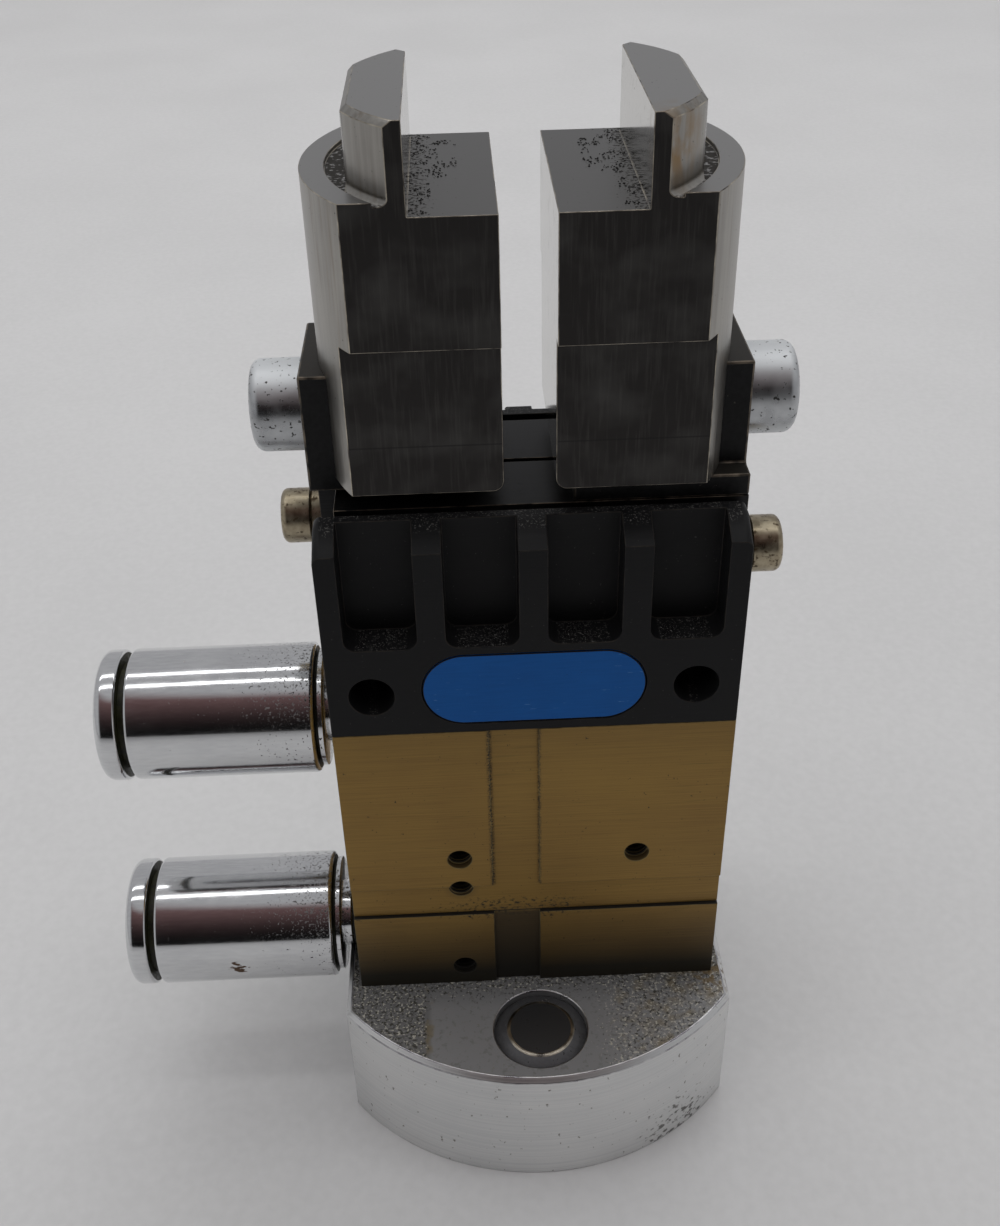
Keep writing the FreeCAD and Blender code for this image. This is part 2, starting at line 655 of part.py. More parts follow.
def guide_housing():
    body = new_body("guide_housing")
    add(body, "XY", Z_GUIDE, Z_TOP, rectangle(f"-{HALF_W}", HALF_W, f"-{HALF_D}", HALF_D))
    channel = rectangle(f"-{Y_CHANNEL}", Y_CHANNEL, Z_CHANNEL, Z_TOP)
    cut(body, "YZ", f"-{HALF_W}", HALF_W, channel)
    for side in (-1, 1):
        face, land = f"{side} * {HALF_D}", f"{side} * ({HALF_D} - rib_depth + rib_land)"
        slope = polygon((face, f"{Z_TOP} - rib_drop"), (face, Z_TOP), (land, Z_TOP))
        cut(body, "YZ", f"-{HALF_W}", HALF_W, slope)
    dress(body, "Fillet", "rib_corner", end_of_cap)
    left, right = f"-2 * {RIB_PITCH} + rib_width / 2", f"-{RIB_PITCH} - rib_width / 2"
    foot = f"{Z_TOP} - pocket_height"
    outline = polygon(
        (left, foot, "pocket_corner"), (right, foot, "pocket_corner"), (right, Z_TOP), (left, Z_TOP)
    )
    for low, high in ((f"-{HALF_D}", f"-{HALF_D} + rib_depth"), (f"{HALF_D} - rib_depth", HALF_D)):
        along(body, cut(body, "XZ", low, high, outline), "X", f"3 * {RIB_PITCH}", 4)
    rise = f"{Z_GUIDE} + side_hole_rise"
    holes = [circle(f"{side} * ({HALF_W} - side_hole_inset)", rise, "side_hole") for side in (-1, 1)]
    cut(body, "XZ", f"-{HALF_D}", HALF_D, *holes)
    seat = ("plate_length + 2 * plate_gap", "plate_height + 2 * plate_gap")
    plate = stadium("0", f"{Z_GUIDE} + plate_rise", *seat)
    cut(body, "XZ", f"-{HALF_D}", f"-{HALF_D} + plate_thickness", plate)
    cut(body, "XY", Z_GUIDE, Z_CHANNEL, circle("0", "0", "rod_diameter + 2 * rod_room"))
    shanks = [circle(x, y, "M3_shank + screw_room") for x, y in GUIDE_SCREWS]
    cut(body, "XY", Z_GUIDE, Z_CHANNEL, *shanks)
    heads = [circle(x, y, "M3_head + screw_room") for x, y in GUIDE_SCREWS]
    cut(body, "XY", f"{Z_CHANNEL} - M3_rise", Z_CHANNEL, *heads)
    return publish(body)


def name_plate():
    body = new_body("name_plate")
    outline = stadium("0", f"{Z_GUIDE} + plate_rise", "plate_length", "plate_height")
    add(body, "XZ", f"-{HALF_D}", f"-{HALF_D} + plate_thickness", outline)
    return publish(body)


def guide_screws():
    seat = f"{Z_CHANNEL} - M3_rise"
    length = f"{seat} - {Z_GUIDE} + guide_screw_depth"
    screws = [
        socket_screw(f"guide_screw_{n}", "M3", length, x, y, seat, (0, 0, 1))
        for n, (x, y) in enumerate(GUIDE_SCREWS, 1)
    ]
    return group("guide_screws", screws)


def guide_strip(label, side):
    """A hardened strip on the channel wall, with the tongue that holds the rail down."""
    body = new_body(label)
    wall, face = f"{side} * {Y_CHANNEL}", f"{side} * {Y_STRIP}"
    tip = f"{side} * ({Y_RAIL} - tongue_reach + slide_gap)"
    low, high = f"{Z_CHANNEL} + tongue_rise", f"{Z_CHANNEL} + tongue_rise + tongue_height"
    section = polygon(
        (wall, Z_CHANNEL),
        (wall, f"{Z_TOP} - strip_top"),
        (face, f"{Z_TOP} - strip_top"),
        (face, high),
        (tip, high),
        (tip, low),
        (face, low),
        (face, Z_CHANNEL),
    )
    add(body, "YZ", f"-{HALF_W} + slide_gap", f"{HALF_W} - slide_gap", section)
    return publish(body)


# Piston group: oval piston with its rod, seal and magnets, and the wedge driver on top
def piston():
    body = new_body("piston")
    low = f"({Z_PISTON} - piston_height)"
    sizes = (BORE_LENGTH, BORE_WIDTH)
    oval = stadium("0", "0", *(f"{bore} - 2 * fit_gap" for bore in sizes))
    add(body, "XY", low, Z_PISTON, oval)
    add(body, "XY", Z_PISTON, Z_ROD, circle("0", "0", "rod_diameter"))
    mid = f"({Z_PISTON} - piston_height / 2)"
    groove = stadium("0", "0", *(f"{bore} - 2 * (fit_gap + piston_seal_width)" for bore in sizes))
    outer = stadium("0", "0", *(f"{bore} + piston_seal_width" for bore in sizes))
    cut(body, "XY", f"{mid} - piston_seal_height / 2", f"{mid} + piston_seal_height / 2", outer, groove)
    cut(body, "XY", low, f"{low} + piston_recess", circle("0", "0", "spring_coil + spring_wire + screw_room"))
    cut(body, "XY", low, f"{low} + piston_recess + M4_rise", circle("0", "0", "M4_head + screw_room"))
    cut(body, "XY", low, Z_ROD, circle("0", "0", "M4_shank + screw_room"))
    magnets = [circle(f"{side} * {X_MAGNET}", "0", "magnet_diameter") for side in (-1, 1)]
    cut(body, "XY", f"{Z_PISTON} - magnet_height", Z_PISTON, *magnets)
    return publish(body)


def piston_seal():
    body = new_body("piston_seal")
    mid = f"({Z_PISTON} - piston_height / 2)"
    sizes = (BORE_LENGTH, BORE_WIDTH)
    outer = stadium("0", "0", *(f"{bore} - 2 * fit_gap" for bore in sizes))
    inner = stadium("0", "0", *(f"{bore} - 2 * piston_seal_width" for bore in sizes))
    rise = "(piston_seal_height / 2 - fit_gap)"
    add(body, "XY", f"{mid} - {rise}", f"{mid} + {rise}", outer, inner)
    return publish(body)


def piston_magnets():
    profile = (
        ("0", "-magnet_height"),
        ("magnet_diameter / 2 - fit_gap", "-magnet_height"),
        ("magnet_diameter / 2 - fit_gap", "0"),
        ("0", "0"),
    )
    discs = [
        turned(f"magnet_{n}", profile, f"{side} * {X_MAGNET}", "0", Z_PISTON)
        for n, side in enumerate((-1, 1), 1)
    ]
    return group("piston_magnets", discs)


def key_outline(side, low, high, gap):
    """The slanted key, or its slot with a gap, seen from the front; the rear one leans toward +X."""
    half = f"(key_width / 2 + {gap})"
    lean_low = f"{side} * key_slope * ({low} - ({Z_DRIVER} - key_height / 2))"
    lean_high = f"{side} * key_slope * ({high} - ({Z_DRIVER} - key_height / 2))"
    return polygon(
        (f"{lean_low} - {half}", low),
        (f"{lean_low} + {half}", low),
        (f"{lean_high} + {half}", high),
        (f"{lean_high} - {half}", high),
    )


def wedge_driver():
    """The wedge that turns the piston's stroke into jaw travel, one slanted key for each rail."""
    body = new_body("wedge_driver")
    foot = f"({Z_ROD} + driver_foot)"
    add(body, "XY", Z_ROD, foot, circle("0", "0", "rod_diameter"))
    blade = rectangle("-driver_width / 2", "driver_width / 2", foot, Z_DRIVER)
    add(body, "XZ", "-driver_thickness / 2", "driver_thickness / 2", blade)
    near, far = "driver_thickness / 2", "(driver_thickness / 2 + key_reach)"
    add(body, "XZ", near, far, key_outline(1, Z_KEY, Z_DRIVER, "0"))
    add(body, "XZ", f"-{far}", f"-{near}", key_outline(-1, Z_KEY, Z_DRIVER, "0"))
    cut(body, "XY", Z_ROD, f"{foot} - tap_run", circle("0", "0", "M4_shank"))
    return publish(body)


def driver_screw():
    seat = f"{Z_PISTON} - piston_height + piston_recess + M4_rise"
    length = f"{Z_ROD} + driver_foot - 2 * tap_run - ({seat})"
    return publish(socket_screw("driver_screw", "M4", length, "0", "0", seat, (0, 0, -1)))


def return_spring():
    """The spring that opens the jaws, wound between the housing floor and the piston."""
    low = f"({Z_SPRING} + spring_floor + spring_wire / 2)"
    high = f"({Z_PISTON} - piston_height + piston_recess - spring_wire / 2)"
    helix = doc.addObject("Part::Helix", "spring_path")
    bind(helix, "Radius", "spring_coil / 2")
    bind(helix, "Height", f"{high} - {low}")
    bind(helix, "Pitch", f"({high} - {low}) / spring_turns")
    bind(helix, "Placement.Base.z", low)
    wire = doc.addObject("Part::Circle", "spring_section")
    bind(wire, "Radius", "spring_wire / 2")
    wire.Placement.Rotation = FreeCAD.Rotation(Vector(1, 0, 0), 90)
    bind(wire, "Placement.Base.x", "spring_coil / 2")
    bind(wire, "Placement.Base.z", low)
    spring = doc.addObject("Part::Sweep", "return_spring")
    spring.Label = "return_spring"
    spring.Sections = [wire]
    doc.recompute()
    spring.Spine = (helix, [f"Edge{i}" for i in range(1, len(helix.Shape.Edges) + 1)])
    spring.Solid = True
    spring.Frenet = True
    doc.recompute()
    return publish(spring)


# Jaw groups: rail, bracket, finger and their screws; side is -1 for the left jaw, +1 for the right
def jaw_rail(label, side):
    body = new_body(label)
    # the left jaw rides on the rear rail, the right jaw on the front one
    half = -side
    inner, outer = f"{half} * rail_gap / 2", f"{half} * {Y_RAIL}"
    end, far = f"{side} * {X_JAW}", f"{-side} * ({X_JAW} - jaw_stroke - stroke_room)"
    low = f"{Z_CHANNEL} + tongue_rise - slide_gap"
    high = f"{Z_CHANNEL} + tongue_rise + tongue_height + slide_gap"
    groove = f"{half} * ({Y_RAIL} - tongue_reach)"
    section = polygon(
        (inner, Z_RAIL),
        (inner, Z_RAIL_TOP),
        (outer, Z_RAIL_TOP),
        (outer, high),
        (groove, high),
        (groove, low),
        (outer, low),
        (outer, Z_RAIL),
    )
    left, right = (end, far) if side < 0 else (far, end)
    add(body, "YZ", left, right, section)
    # room for the driver's blade and its slanted key
    plate = f"{half} * (driver_thickness / 2 + slide_gap)"
    pit = f"{half} * (driver_thickness / 2 + key_reach + slide_gap)"
    reach = "driver_width / 2 + slide_gap"
    near, away = f"{side} * ({reach} + jaw_stroke)", f"{-side} * ({reach})"
    order = (inner, plate) if half > 0 else (plate, inner)
    cut(body, "XZ", *order, rectangle(near, away, Z_RAIL, f"{Z_DRIVER} + driver_room"))
    order = (plate, pit) if half > 0 else (pit, plate)
    cut(body, "XZ", *order, key_outline(half, Z_RAIL, f"{Z_DRIVER} + driver_room", "fit_gap"))
    hole = circle(f"{half} * {Y_RAIL_MIDDLE}", Z_END_SCREW, "M3_shank")
    ends = sorted((end, f"{end} - {side} * (screw_grip + tap_run)"), key=number)
    cut(body, "YZ", *ends, hole)
    taps = [circle(f"{side} * {x}", f"{half} * {Y_RAIL_MIDDLE}", "M3_shank") for x in X_FOOT_SCREWS]
    cut(body, "XY", f"{Z_RAIL_TOP} - foot_screw_grip - tap_run", Z_RAIL_TOP, *taps)
    return publish(body)


def jaw_bracket(label, side):
    body = new_body(label)
    half = -side
    out, inside = f"{side} * {X_JAW}", f"{side} * {X_UPRIGHT}"
    sides = sorted((f"{half} * rail_gap / 2", f"{half} * {Y_RAIL}"), key=number)
    spread = sorted((out, f"{side} * ({X_JAW} - foot_length)"), key=number)
    add(body, "XY", Z_RAIL_TOP, Z_FINGER, rectangle(*spread, *sides))
    upright = rectangle("-upright_width / 2", "upright_width / 2", Z_UPRIGHT, Z_UPRIGHT_TOP)
    add(body, "YZ", *sorted((out, inside), key=number), upright)
    hole = circle("0", f"{Z_FINGER} + finger_screw_rise", "M5_shank + screw_room")
    cut(body, "YZ", *sorted((out, inside), key=number), hole)
    shank = "M3_shank + screw_room"
    holes = [circle(f"{side} * {x}", f"{half} * {Y_RAIL_MIDDLE}", shank) for x in X_FOOT_SCREWS]
    cut(body, "XY", Z_RAIL_TOP, Z_FINGER, *holes)
    return publish(body)


def finger(label, side):
    """An internal-grip finger: half of a turned bar with milled flats, a ring seat and a thin blade."""
    body = new_body(label)
    reach, seat = f"2 * {FINGER_RADIUS}", f"({Z_SHOULDER} - groove_depth)"
    across = (f"-{reach}", reach)
    add(body, "XY", Z_FINGER, seat, circle("0", "0", reach))
    add(body, "XY", seat, Z_BLADE, circle("0", "0", f"2 * {BLADE_RADIUS}"))

    def blade_foot(line):
        return on_level(line, "z", seat) and line.BoundBox.XMax < number(f"{BLADE_RADIUS} + groove_width / 2")

    dress(body, "Fillet", "groove_round", blade_foot)
    outer = f"{side} * ({BLADE_RADIUS} - blade_flat)"
    cut(body, "XZ", *across, rectangle(outer, f"{side} * {reach}", seat, Z_BLADE))
    dress(body, "Chamfer", "blade_chamfer", lambda edge: on_level(edge, "z", Z_BLADE))
    # ring round the blade's foot
    ring = circle("0", "0", reach), circle("0", "0", f"2 * ({BLADE_RADIUS} + groove_width)")
    add(body, "XY", seat, Z_SHOULDER, *ring)
    flat = f"({BLADE_RADIUS} - blade_thickness)"
    cut(body, "XZ", *across, rectangle(f"-{flat}", flat, Z_BLOCK, Z_BLADE))
    inner = f"{side} * finger_gap / 2"
    cut(body, "XZ", *across, rectangle(inner, f"{-side} * {reach}", Z_FINGER, Z_BLADE))
    for way in (-1, 1):
        edge, base = f"{way} * finger_depth / 2", f"{way} * finger_base_depth / 2"
        out = f"{way} * {reach}"
        cut(body, "YZ", *across, rectangle(edge, out, Z_FINGER, Z_BLADE))
        cut(body, "YZ", *across, rectangle(base, out, Z_FINGER, f"{Z_FINGER} + finger_base_height"))

    def back_corner(line):
        return on_level(line, "x", f"{side} * {flat}") and on_level(line, "y", "finger_depth / 2")

    dress(body, "Chamfer", "blade_corner", back_corner)
    # flat seat for the bracket's upright
    back, out = f"{side} * {X_UPRIGHT}", f"{side} * {reach}"
    half = "(upright_width / 2 + slide_gap)"
    cut(body, "YZ", *sorted((back, out), key=number), rectangle(f"-{half}", half, Z_FINGER, Z_UPRIGHT_TOP))
    tap = circle("0", f"{Z_FINGER} + finger_screw_rise", "M5_shank")
    cut(body, "YZ", *sorted((back, f"{back} - {side} * (screw_grip + tap_run)"), key=number), tap)

    def inner_foot(line):
        return on_level(line, "x", inner) and on_level(line, "z", Z_FINGER)

    dress(body, "Fillet", "finger_corner", inner_foot)
    return publish(body)


def jaw_screws(name, side):
    half, away = -side, (side, 0, 0)
    y, z = f"{half} * {Y_RAIL_MIDDLE}", f"{Z_FINGER} + finger_screw_rise"
    length = "upright_thickness + screw_grip"
    publish(socket_screw(f"{name}_finger_screw", "M5", length, f"{side} * {X_JAW}", "0", z, away))
    seat, length = f"{side} * ({X_JAW} + end_washer)", "end_washer + screw_grip"
    publish(socket_screw(f"{name}_end_screw", "M3", length, seat, y, Z_END_SCREW, away))
    profile = (
        ("M3_shank / 2 + fit_gap", "0"),
        ("M3_head / 2 - washer_step", "0"),
        ("M3_head / 2 - washer_step", "end_washer"),
        ("M3_shank / 2 + fit_gap", "end_washer"),
    )
    publish(turned(f"{name}_end_washer", profile, f"{side} * {X_JAW}", y, Z_END_SCREW, away))
    pins = []
    for n, x in enumerate(X_FOOT_SCREWS, 1):
        low, high = "-(foot_thickness + foot_screw_grip)", "-foot_screw_sink"
        profile = (("0", low), ("M3_shank / 2 - fit_gap", low), ("M3_shank / 2 - fit_gap", high), ("0", high))
        pins.append(turned(f"{name}_foot_screw_{n}", profile, f"{side} * {x}", y, Z_FINGER))
    group(f"{name}_foot_screws", pins)


# Push-in fittings: heights run outward from the block's side face
def fitting(name, y, z):
    place = {"x": f"-{HALF_W}", "y": y, "z": z, "axis": (-1, 0, 0)}
    neck, end = "fitting_neck_length", "(fitting_neck_length + fitting_length)"
    passage, way = "tube_diameter / 4", "tube_diameter / 2 + tube_gap"
    throat, mouth = "(tube_diameter / 2 + tube_seal_room)", "collar_neck / 2 + mouth_gap"
    thread, outside = "port_thread / 2 - fit_gap", "fitting_diameter / 2"
    ring_end = f"({neck} + fitting_ring_width)"
    start = f"({ring_end} + fitting_groove_width)"
    body = (
        (passage, f"-{PORT_DEPTH}"),
        (thread, f"-{PORT_DEPTH}"),
        (thread, "fitting_seal"),
        ("fitting_neck / 2", "fitting_seal"),
        ("fitting_neck / 2", neck),
        (f"{outside} - fitting_ring_step", neck),
        (f"{outside} - fitting_ring_step", ring_end),
        (f"{outside} - fitting_groove_step", ring_end),
        (f"{outside} - fitting_groove_step", start),
        (f"{outside} - fitting_chamfer", start),
        (outside, f"{start} + fitting_chamfer"),
        (outside, f"{end} - fitting_chamfer"),
        (f"{outside} - fitting_chamfer", end),
        (mouth, end),
        (mouth, f"{end} - mouth_depth"),
        (throat, f"{end} - mouth_depth"),
        (throat, "tube_stop + tube_seal_shelf"),
        (way, "tube_stop + tube_seal_shelf"),
        (way, "tube_stop"),
        (passage, "tube_stop"),
    )
    publish(turned(f"{name}_fitting_body", body, **place))
    seal = (
        ("port_thread / 2 + fit_gap", "0"),
        ("fitting_neck / 2 - fitting_seal_step", "0"),
        ("fitting_neck / 2 - fitting_seal_step", "fitting_seal"),
        ("port_thread / 2 + fit_gap", "fitting_seal"),
    )
    publish(turned(f"{name}_thread_seal", seal, **place))
    base, top = f"({end} + collar_gap)", f"({end} + collar_gap + collar_head)"
    skirt = f"{throat} - mouth_gap"
    collar = (
        (way, f"{end} - collar_depth"),
        (skirt, f"{end} - collar_depth"),
        (skirt, f"{end} - collar_shoulder"),
        ("collar_neck / 2", f"{end} - collar_shoulder"),
        ("collar_neck / 2", base),
        (f"{outside} - collar_edge", base),
        (outside, f"{base} + collar_edge"),
        (outside, f"{top} - collar_round"),
        (f"{outside} - collar_round / 3", f"{top} - collar_round / 3"),
        (f"{outside} - collar_round", top),
        (f"{way} + collar_lead", top),
        (way, f"{top} - collar_lead"),
    )
    publish(turned(f"{name}_release_collar", collar, **place))
    teeth = (
        (f"{way} + grab_gap", "tube_stop + grab_rise + grab_lean"),
        (f"{throat} - fit_gap", "tube_stop + grab_rise"),
        (f"{throat} - fit_gap", "tube_stop + grab_rise + grab_thickness"),
        (f"{way} + grab_gap", "tube_stop + grab_rise + grab_lean + grab_thickness"),
    )
    publish(turned(f"{name}_grab_ring", teeth, **place))
    ring = doc.addObject("Part::Torus", f"{name}_tube_seal")
    ring.Label = f"{name}_tube_seal"
    bind(ring, "Radius2", "tube_seal_section / 2")
    bind(ring, "Radius1", f"{throat} - fit_gap - tube_seal_section / 2")
    ring.Placement.Rotation = FreeCAD.Rotation(Vector(0, 0, 1), Vector(-1, 0, 0))
    bind(ring, "Placement.Base.x", f"-{HALF_W} - tube_stop - tube_seal_rise")
    if y != "0":
        bind(ring, "Placement.Base.y", y)
    bind(ring, "Placement.Base.z", z)
    doc.recompute()
    publish(ring)


adapter_flange()
flange_dowels()
flange_screws()
spring_housing()
base_screws()
cylinder_gasket()
cylinder_body()
rod_seal()
guide_housing()
name_plate()
guide_screws()
guide_strip("front_guide_strip", -1)
guide_strip("rear_guide_strip", 1)
piston()
piston_seal()
piston_magnets()
wedge_driver()
driver_screw()
return_spring()
for jaw, way in (("left", -1), ("right", 1)):
    jaw_rail(f"{jaw}_jaw_rail", way)
    jaw_bracket(f"{jaw}_jaw_bracket", way)
    finger(f"{jaw}_finger", way)
    jaw_screws(jaw, way)
fitting("upper", "0", Z_UPPER_PORT)
fitting("lower", Y_LOWER_PORT, Z_LOWER_PORT)

# Check every object and write one file per node
doc.recompute()
for item in doc.Objects:
    if {"Invalid", "Error"} & set(item.State):
        raise RuntimeError(f"{item.Label} did not build: {item.State}")
os.makedirs("parts", exist_ok=True)
for item in exported:
    if item.Shape.isNull() or not item.Shape.isValid():
        raise RuntimeError(f"{item.Label} has no valid shape")
    item.Shape.exportStep(f"parts/{item.Label}.step")
    print(item.Label, len(item.Shape.Solids), round(item.Shape.Volume, 1))
print("nodes", len(exported))
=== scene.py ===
# %% [markdown]
# # Dressing a pneumatic gripper
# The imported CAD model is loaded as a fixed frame: every piece below rides on one of its bodies.
# Blender works in metres here, so sizes are written in millimetres and multiplied by `MM`.

# %% Load the frame
import json
import math

import bmesh
import bpy
from mathutils import Matrix, Vector

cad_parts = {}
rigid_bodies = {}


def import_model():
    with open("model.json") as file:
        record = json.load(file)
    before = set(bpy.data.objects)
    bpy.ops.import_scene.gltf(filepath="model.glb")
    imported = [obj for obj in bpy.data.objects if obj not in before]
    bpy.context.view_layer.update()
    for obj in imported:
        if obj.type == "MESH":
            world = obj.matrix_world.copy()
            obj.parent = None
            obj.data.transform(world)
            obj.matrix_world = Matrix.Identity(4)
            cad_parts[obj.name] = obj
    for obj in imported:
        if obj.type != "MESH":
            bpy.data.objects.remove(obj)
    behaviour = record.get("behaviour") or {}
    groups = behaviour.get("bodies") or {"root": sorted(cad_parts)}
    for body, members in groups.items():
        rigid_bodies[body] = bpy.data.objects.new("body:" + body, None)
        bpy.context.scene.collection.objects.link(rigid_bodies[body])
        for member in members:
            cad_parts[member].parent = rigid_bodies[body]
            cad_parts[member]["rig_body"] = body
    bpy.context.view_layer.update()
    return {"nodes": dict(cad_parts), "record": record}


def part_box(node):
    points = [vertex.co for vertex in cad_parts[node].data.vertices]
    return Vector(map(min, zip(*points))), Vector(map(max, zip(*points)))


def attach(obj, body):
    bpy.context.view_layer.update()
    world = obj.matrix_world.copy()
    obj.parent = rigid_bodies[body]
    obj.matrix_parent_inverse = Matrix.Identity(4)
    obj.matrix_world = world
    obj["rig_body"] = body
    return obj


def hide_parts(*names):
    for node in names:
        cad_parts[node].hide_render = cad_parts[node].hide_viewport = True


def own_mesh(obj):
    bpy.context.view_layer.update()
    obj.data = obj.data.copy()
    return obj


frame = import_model()
MM = 0.001
X, Y, Z = 0, 1, 2

# %% [markdown]
# ## Two small helpers for node trees
# A colour is written as the hex code that a paint program shows, and Blender wants linear light, so one
# function converts it. The other adds a node, fills its sockets and returns one output: a plain number goes
# into the socket itself, and a socket gets a link. Shader and geometry nodes are both added with it.
# A Mix node keeps sockets for numbers and for colours side by side, so they are picked by their place.

# %% Colours and nodes
NOISE, RANGE, MIX, MATH = "ShaderNodeTexNoise", "ShaderNodeMapRange", "ShaderNodeMix", "ShaderNodeMath"
SHARE, NUMBER_A, NUMBER_B = 0, 2, 3
COLOUR_A, COLOUR_B, COLOUR_OUT = 6, 7, 2


def srgb(code):
    parts = [int(code[i : i + 2], 16) / 255 for i in (0, 2, 4)]
    linear = [c / 12.92 if c <= 0.04045 else ((c + 0.055) / 1.055) ** 2.4 for c in parts]
    return (*linear, 1.0)


def add(tree, kind, inputs=None, out=0, **settings):
    made = tree.nodes.new(kind)
    for key, value in settings.items():
        setattr(made, key, value)
    for key, value in (inputs or {}).items():
        if isinstance(value, bpy.types.NodeSocket):
            tree.links.new(value, made.inputs[key])
        else:
            made.inputs[key].default_value = value
    return made.outputs[out] if made.outputs else made


print("a middle grey in linear light:", srgb("808080"))

# %% [markdown]
# ## Masks measured in millimetres
# Dirt and wear are never everywhere. A mask is a number from 0 to 1 over the surface, worked out from Object
# coordinates, so it sticks to the piece, and written in millimetres, so specks are as large as real ones.
# `fade` runs along an axis, `near` is a soft ball round a point, and `facing` picks faces by their direction,
# both ways unless `one_way` is set.

# %% Masks by place and direction
def noise(tree, size, detail=3.0, seed=0.0):
    place = add(tree, "ShaderNodeTexCoord", out="Object")
    scale = [1 / (s * MM) for s in size]
    place = add(tree, "ShaderNodeMapping", {"Vector": place, "Location": (seed,) * 3, "Scale": scale})
    return add(tree, NOISE, {"Vector": place, "Scale": 1.0, "Detail": detail})


def fade(axis, start, stop):
    def mask(tree):
        place = add(tree, "ShaderNodeTexCoord", out="Object")
        value = add(tree, "ShaderNodeSeparateXYZ", {0: place}, out=axis)
        return add(tree, RANGE, {"Value": value, "From Min": start * MM, "From Max": stop * MM})

    return mask


def near(point, radius):
    def mask(tree):
        place = add(tree, "ShaderNodeTexCoord", out="Object")
        ends = {0: place, 1: Vector(point) * MM}
        away = add(tree, "ShaderNodeVectorMath", ends, 1, operation="DISTANCE")
        return add(tree, RANGE, {"Value": away, "From Min": radius * MM, "From Max": radius * MM / 3})

    return mask


def facing(axis, low=0.9, high=0.97, one_way=False):
    def mask(tree):
        normal = add(tree, "ShaderNodeNewGeometry", out="Normal")
        value = add(tree, "ShaderNodeSeparateXYZ", {0: normal}, out=axis)
        if not one_way:
            value = add(tree, MATH, {0: value}, operation="ABSOLUTE")
        return add(tree, RANGE, {"Value": value, "From Min": low, "From Max": high})

    return mask


# %% [markdown]
# Masks are combined by `both`, which multiplies them, and `either`, which takes the larger. `line` is a thin
# band across an axis, `between` a wide one with short soft ends. `specks` keeps the peaks of a noise: away
# from `where` the noise sinks, so that fewer peaks reach the limit.

# %% Masks joined, bands and specks
SOFT_END, SINK = 0.1, -0.3


def joined(operation, *masks):
    def mask(tree):
        values = [m if isinstance(m, float) else m(tree) for m in masks]
        result = values[0]
        for value in values[1:]:
            result = add(tree, MATH, {0: result, 1: value}, operation=operation)
        return result

    return mask


def both(*masks):
    return joined("MULTIPLY", *masks)


def either(*masks):
    return joined("MAXIMUM", *masks)


def line(axis, place, half):
    return both(fade(axis, place - half, place - half / 3), fade(axis, place + half, place + half / 3))


def between(axis, low, high):
    return both(fade(axis, low - SOFT_END, low), fade(axis, high + SOFT_END, high))


def specks(size, limit, seed=0.0, soft=0.04, where=None):
    def mask(tree):
        dots = noise(tree, (size,) * 3 if isinstance(size, float) else size, 2.5, seed)
        if where:
            lift = add(tree, RANGE, {"Value": where(tree), "To Min": SINK, "To Max": 0.0})
            dots = add(tree, MATH, {0: dots, 1: lift}, operation="ADD")
        return add(tree, RANGE, {"Value": dots, "From Min": limit, "From Max": limit + soft})

    return mask


# %% [markdown]
# ## One recipe for every finish
# Each finish is two tones that drift into each other, brush lines that tilt the light a little (bump), a
# roughness that varies over the surface, and then layers on top: stains, dust and worn spots. A layer has a
# mask, a colour, a roughness and a metal value, because grime is not metal. What is the same all over is set
# on the shader's own socket. `grain` is the length of a brush line along X, Y and Z, `relief` its height and
# `cloud` the size of the drifting patches, all in millimetres. Real brush lines are too fine to show at this
# distance, so they are drawn coarser.

# %% The finish recipe
TONE_SPAN, GLOSS_SPAN = (0.75, 1.25), (0.7, 1.3)


def finish(name, tones, metal, gloss, grain, relief, layers=(), cloud=7.0, **fixed):
    material = bpy.data.materials.new(name)
    material.use_nodes = True
    tree = material.node_tree
    shader = tree.nodes["Principled BSDF"]
    cloudy = noise(tree, (cloud,) * 3, 4.0)
    lines = noise(tree, grain, 2.0, 3.7)
    blend = add(tree, MATH, {0: cloudy, 1: lines}, operation="ADD")
    share = add(tree, RANGE, {"Value": blend, "From Min": TONE_SPAN[0], "From Max": TONE_SPAN[1]})
    pair = {SHARE: share, COLOUR_A: srgb(tones[0]), COLOUR_B: srgb(tones[1])}
    colour = add(tree, MIX, pair, COLOUR_OUT, data_type="RGBA")
    span = {"Value": blend, "From Min": GLOSS_SPAN[0], "From Max": GLOSS_SPAN[1]}
    rough = add(tree, RANGE, {**span, "To Min": gloss[0], "To Max": gloss[1]})
    shine = metal
    for mask, tone, layer_rough, layer_metal in layers:
        amount = mask(tree)
        pair = {SHARE: amount, COLOUR_A: colour, COLOUR_B: srgb(tone)}
        colour = add(tree, MIX, pair, COLOUR_OUT, data_type="RGBA")
        rough = add(tree, MIX, {SHARE: amount, NUMBER_A: rough, NUMBER_B: layer_rough})
        if layer_metal != metal or isinstance(shine, bpy.types.NodeSocket):
            shine = add(tree, MIX, {SHARE: amount, NUMBER_A: shine, NUMBER_B: layer_metal})
    bump = add(tree, "ShaderNodeBump", {"Height": lines, "Distance": relief * MM, "Strength": 1.0})
    sockets = {"Base Color": colour, "Roughness": rough, "Metallic": shine, "Normal": bump}
    for socket, value in {**sockets, **fixed}.items():
        if isinstance(value, bpy.types.NodeSocket):
            tree.links.new(value, shader.inputs[socket])
        else:
            shader.inputs[socket].default_value = value
    return material


# %% [markdown]
# ## Black anodising
# Hard anodising is a thin dark oxide on aluminium: a dull dark tone, a fine mill grain, and pale dust on what
# looks upward. A low specular level keeps the dark faces dark over a pale floor. The bevelled edges get a
# finish of their own, where the dye is rubbed off and brown.

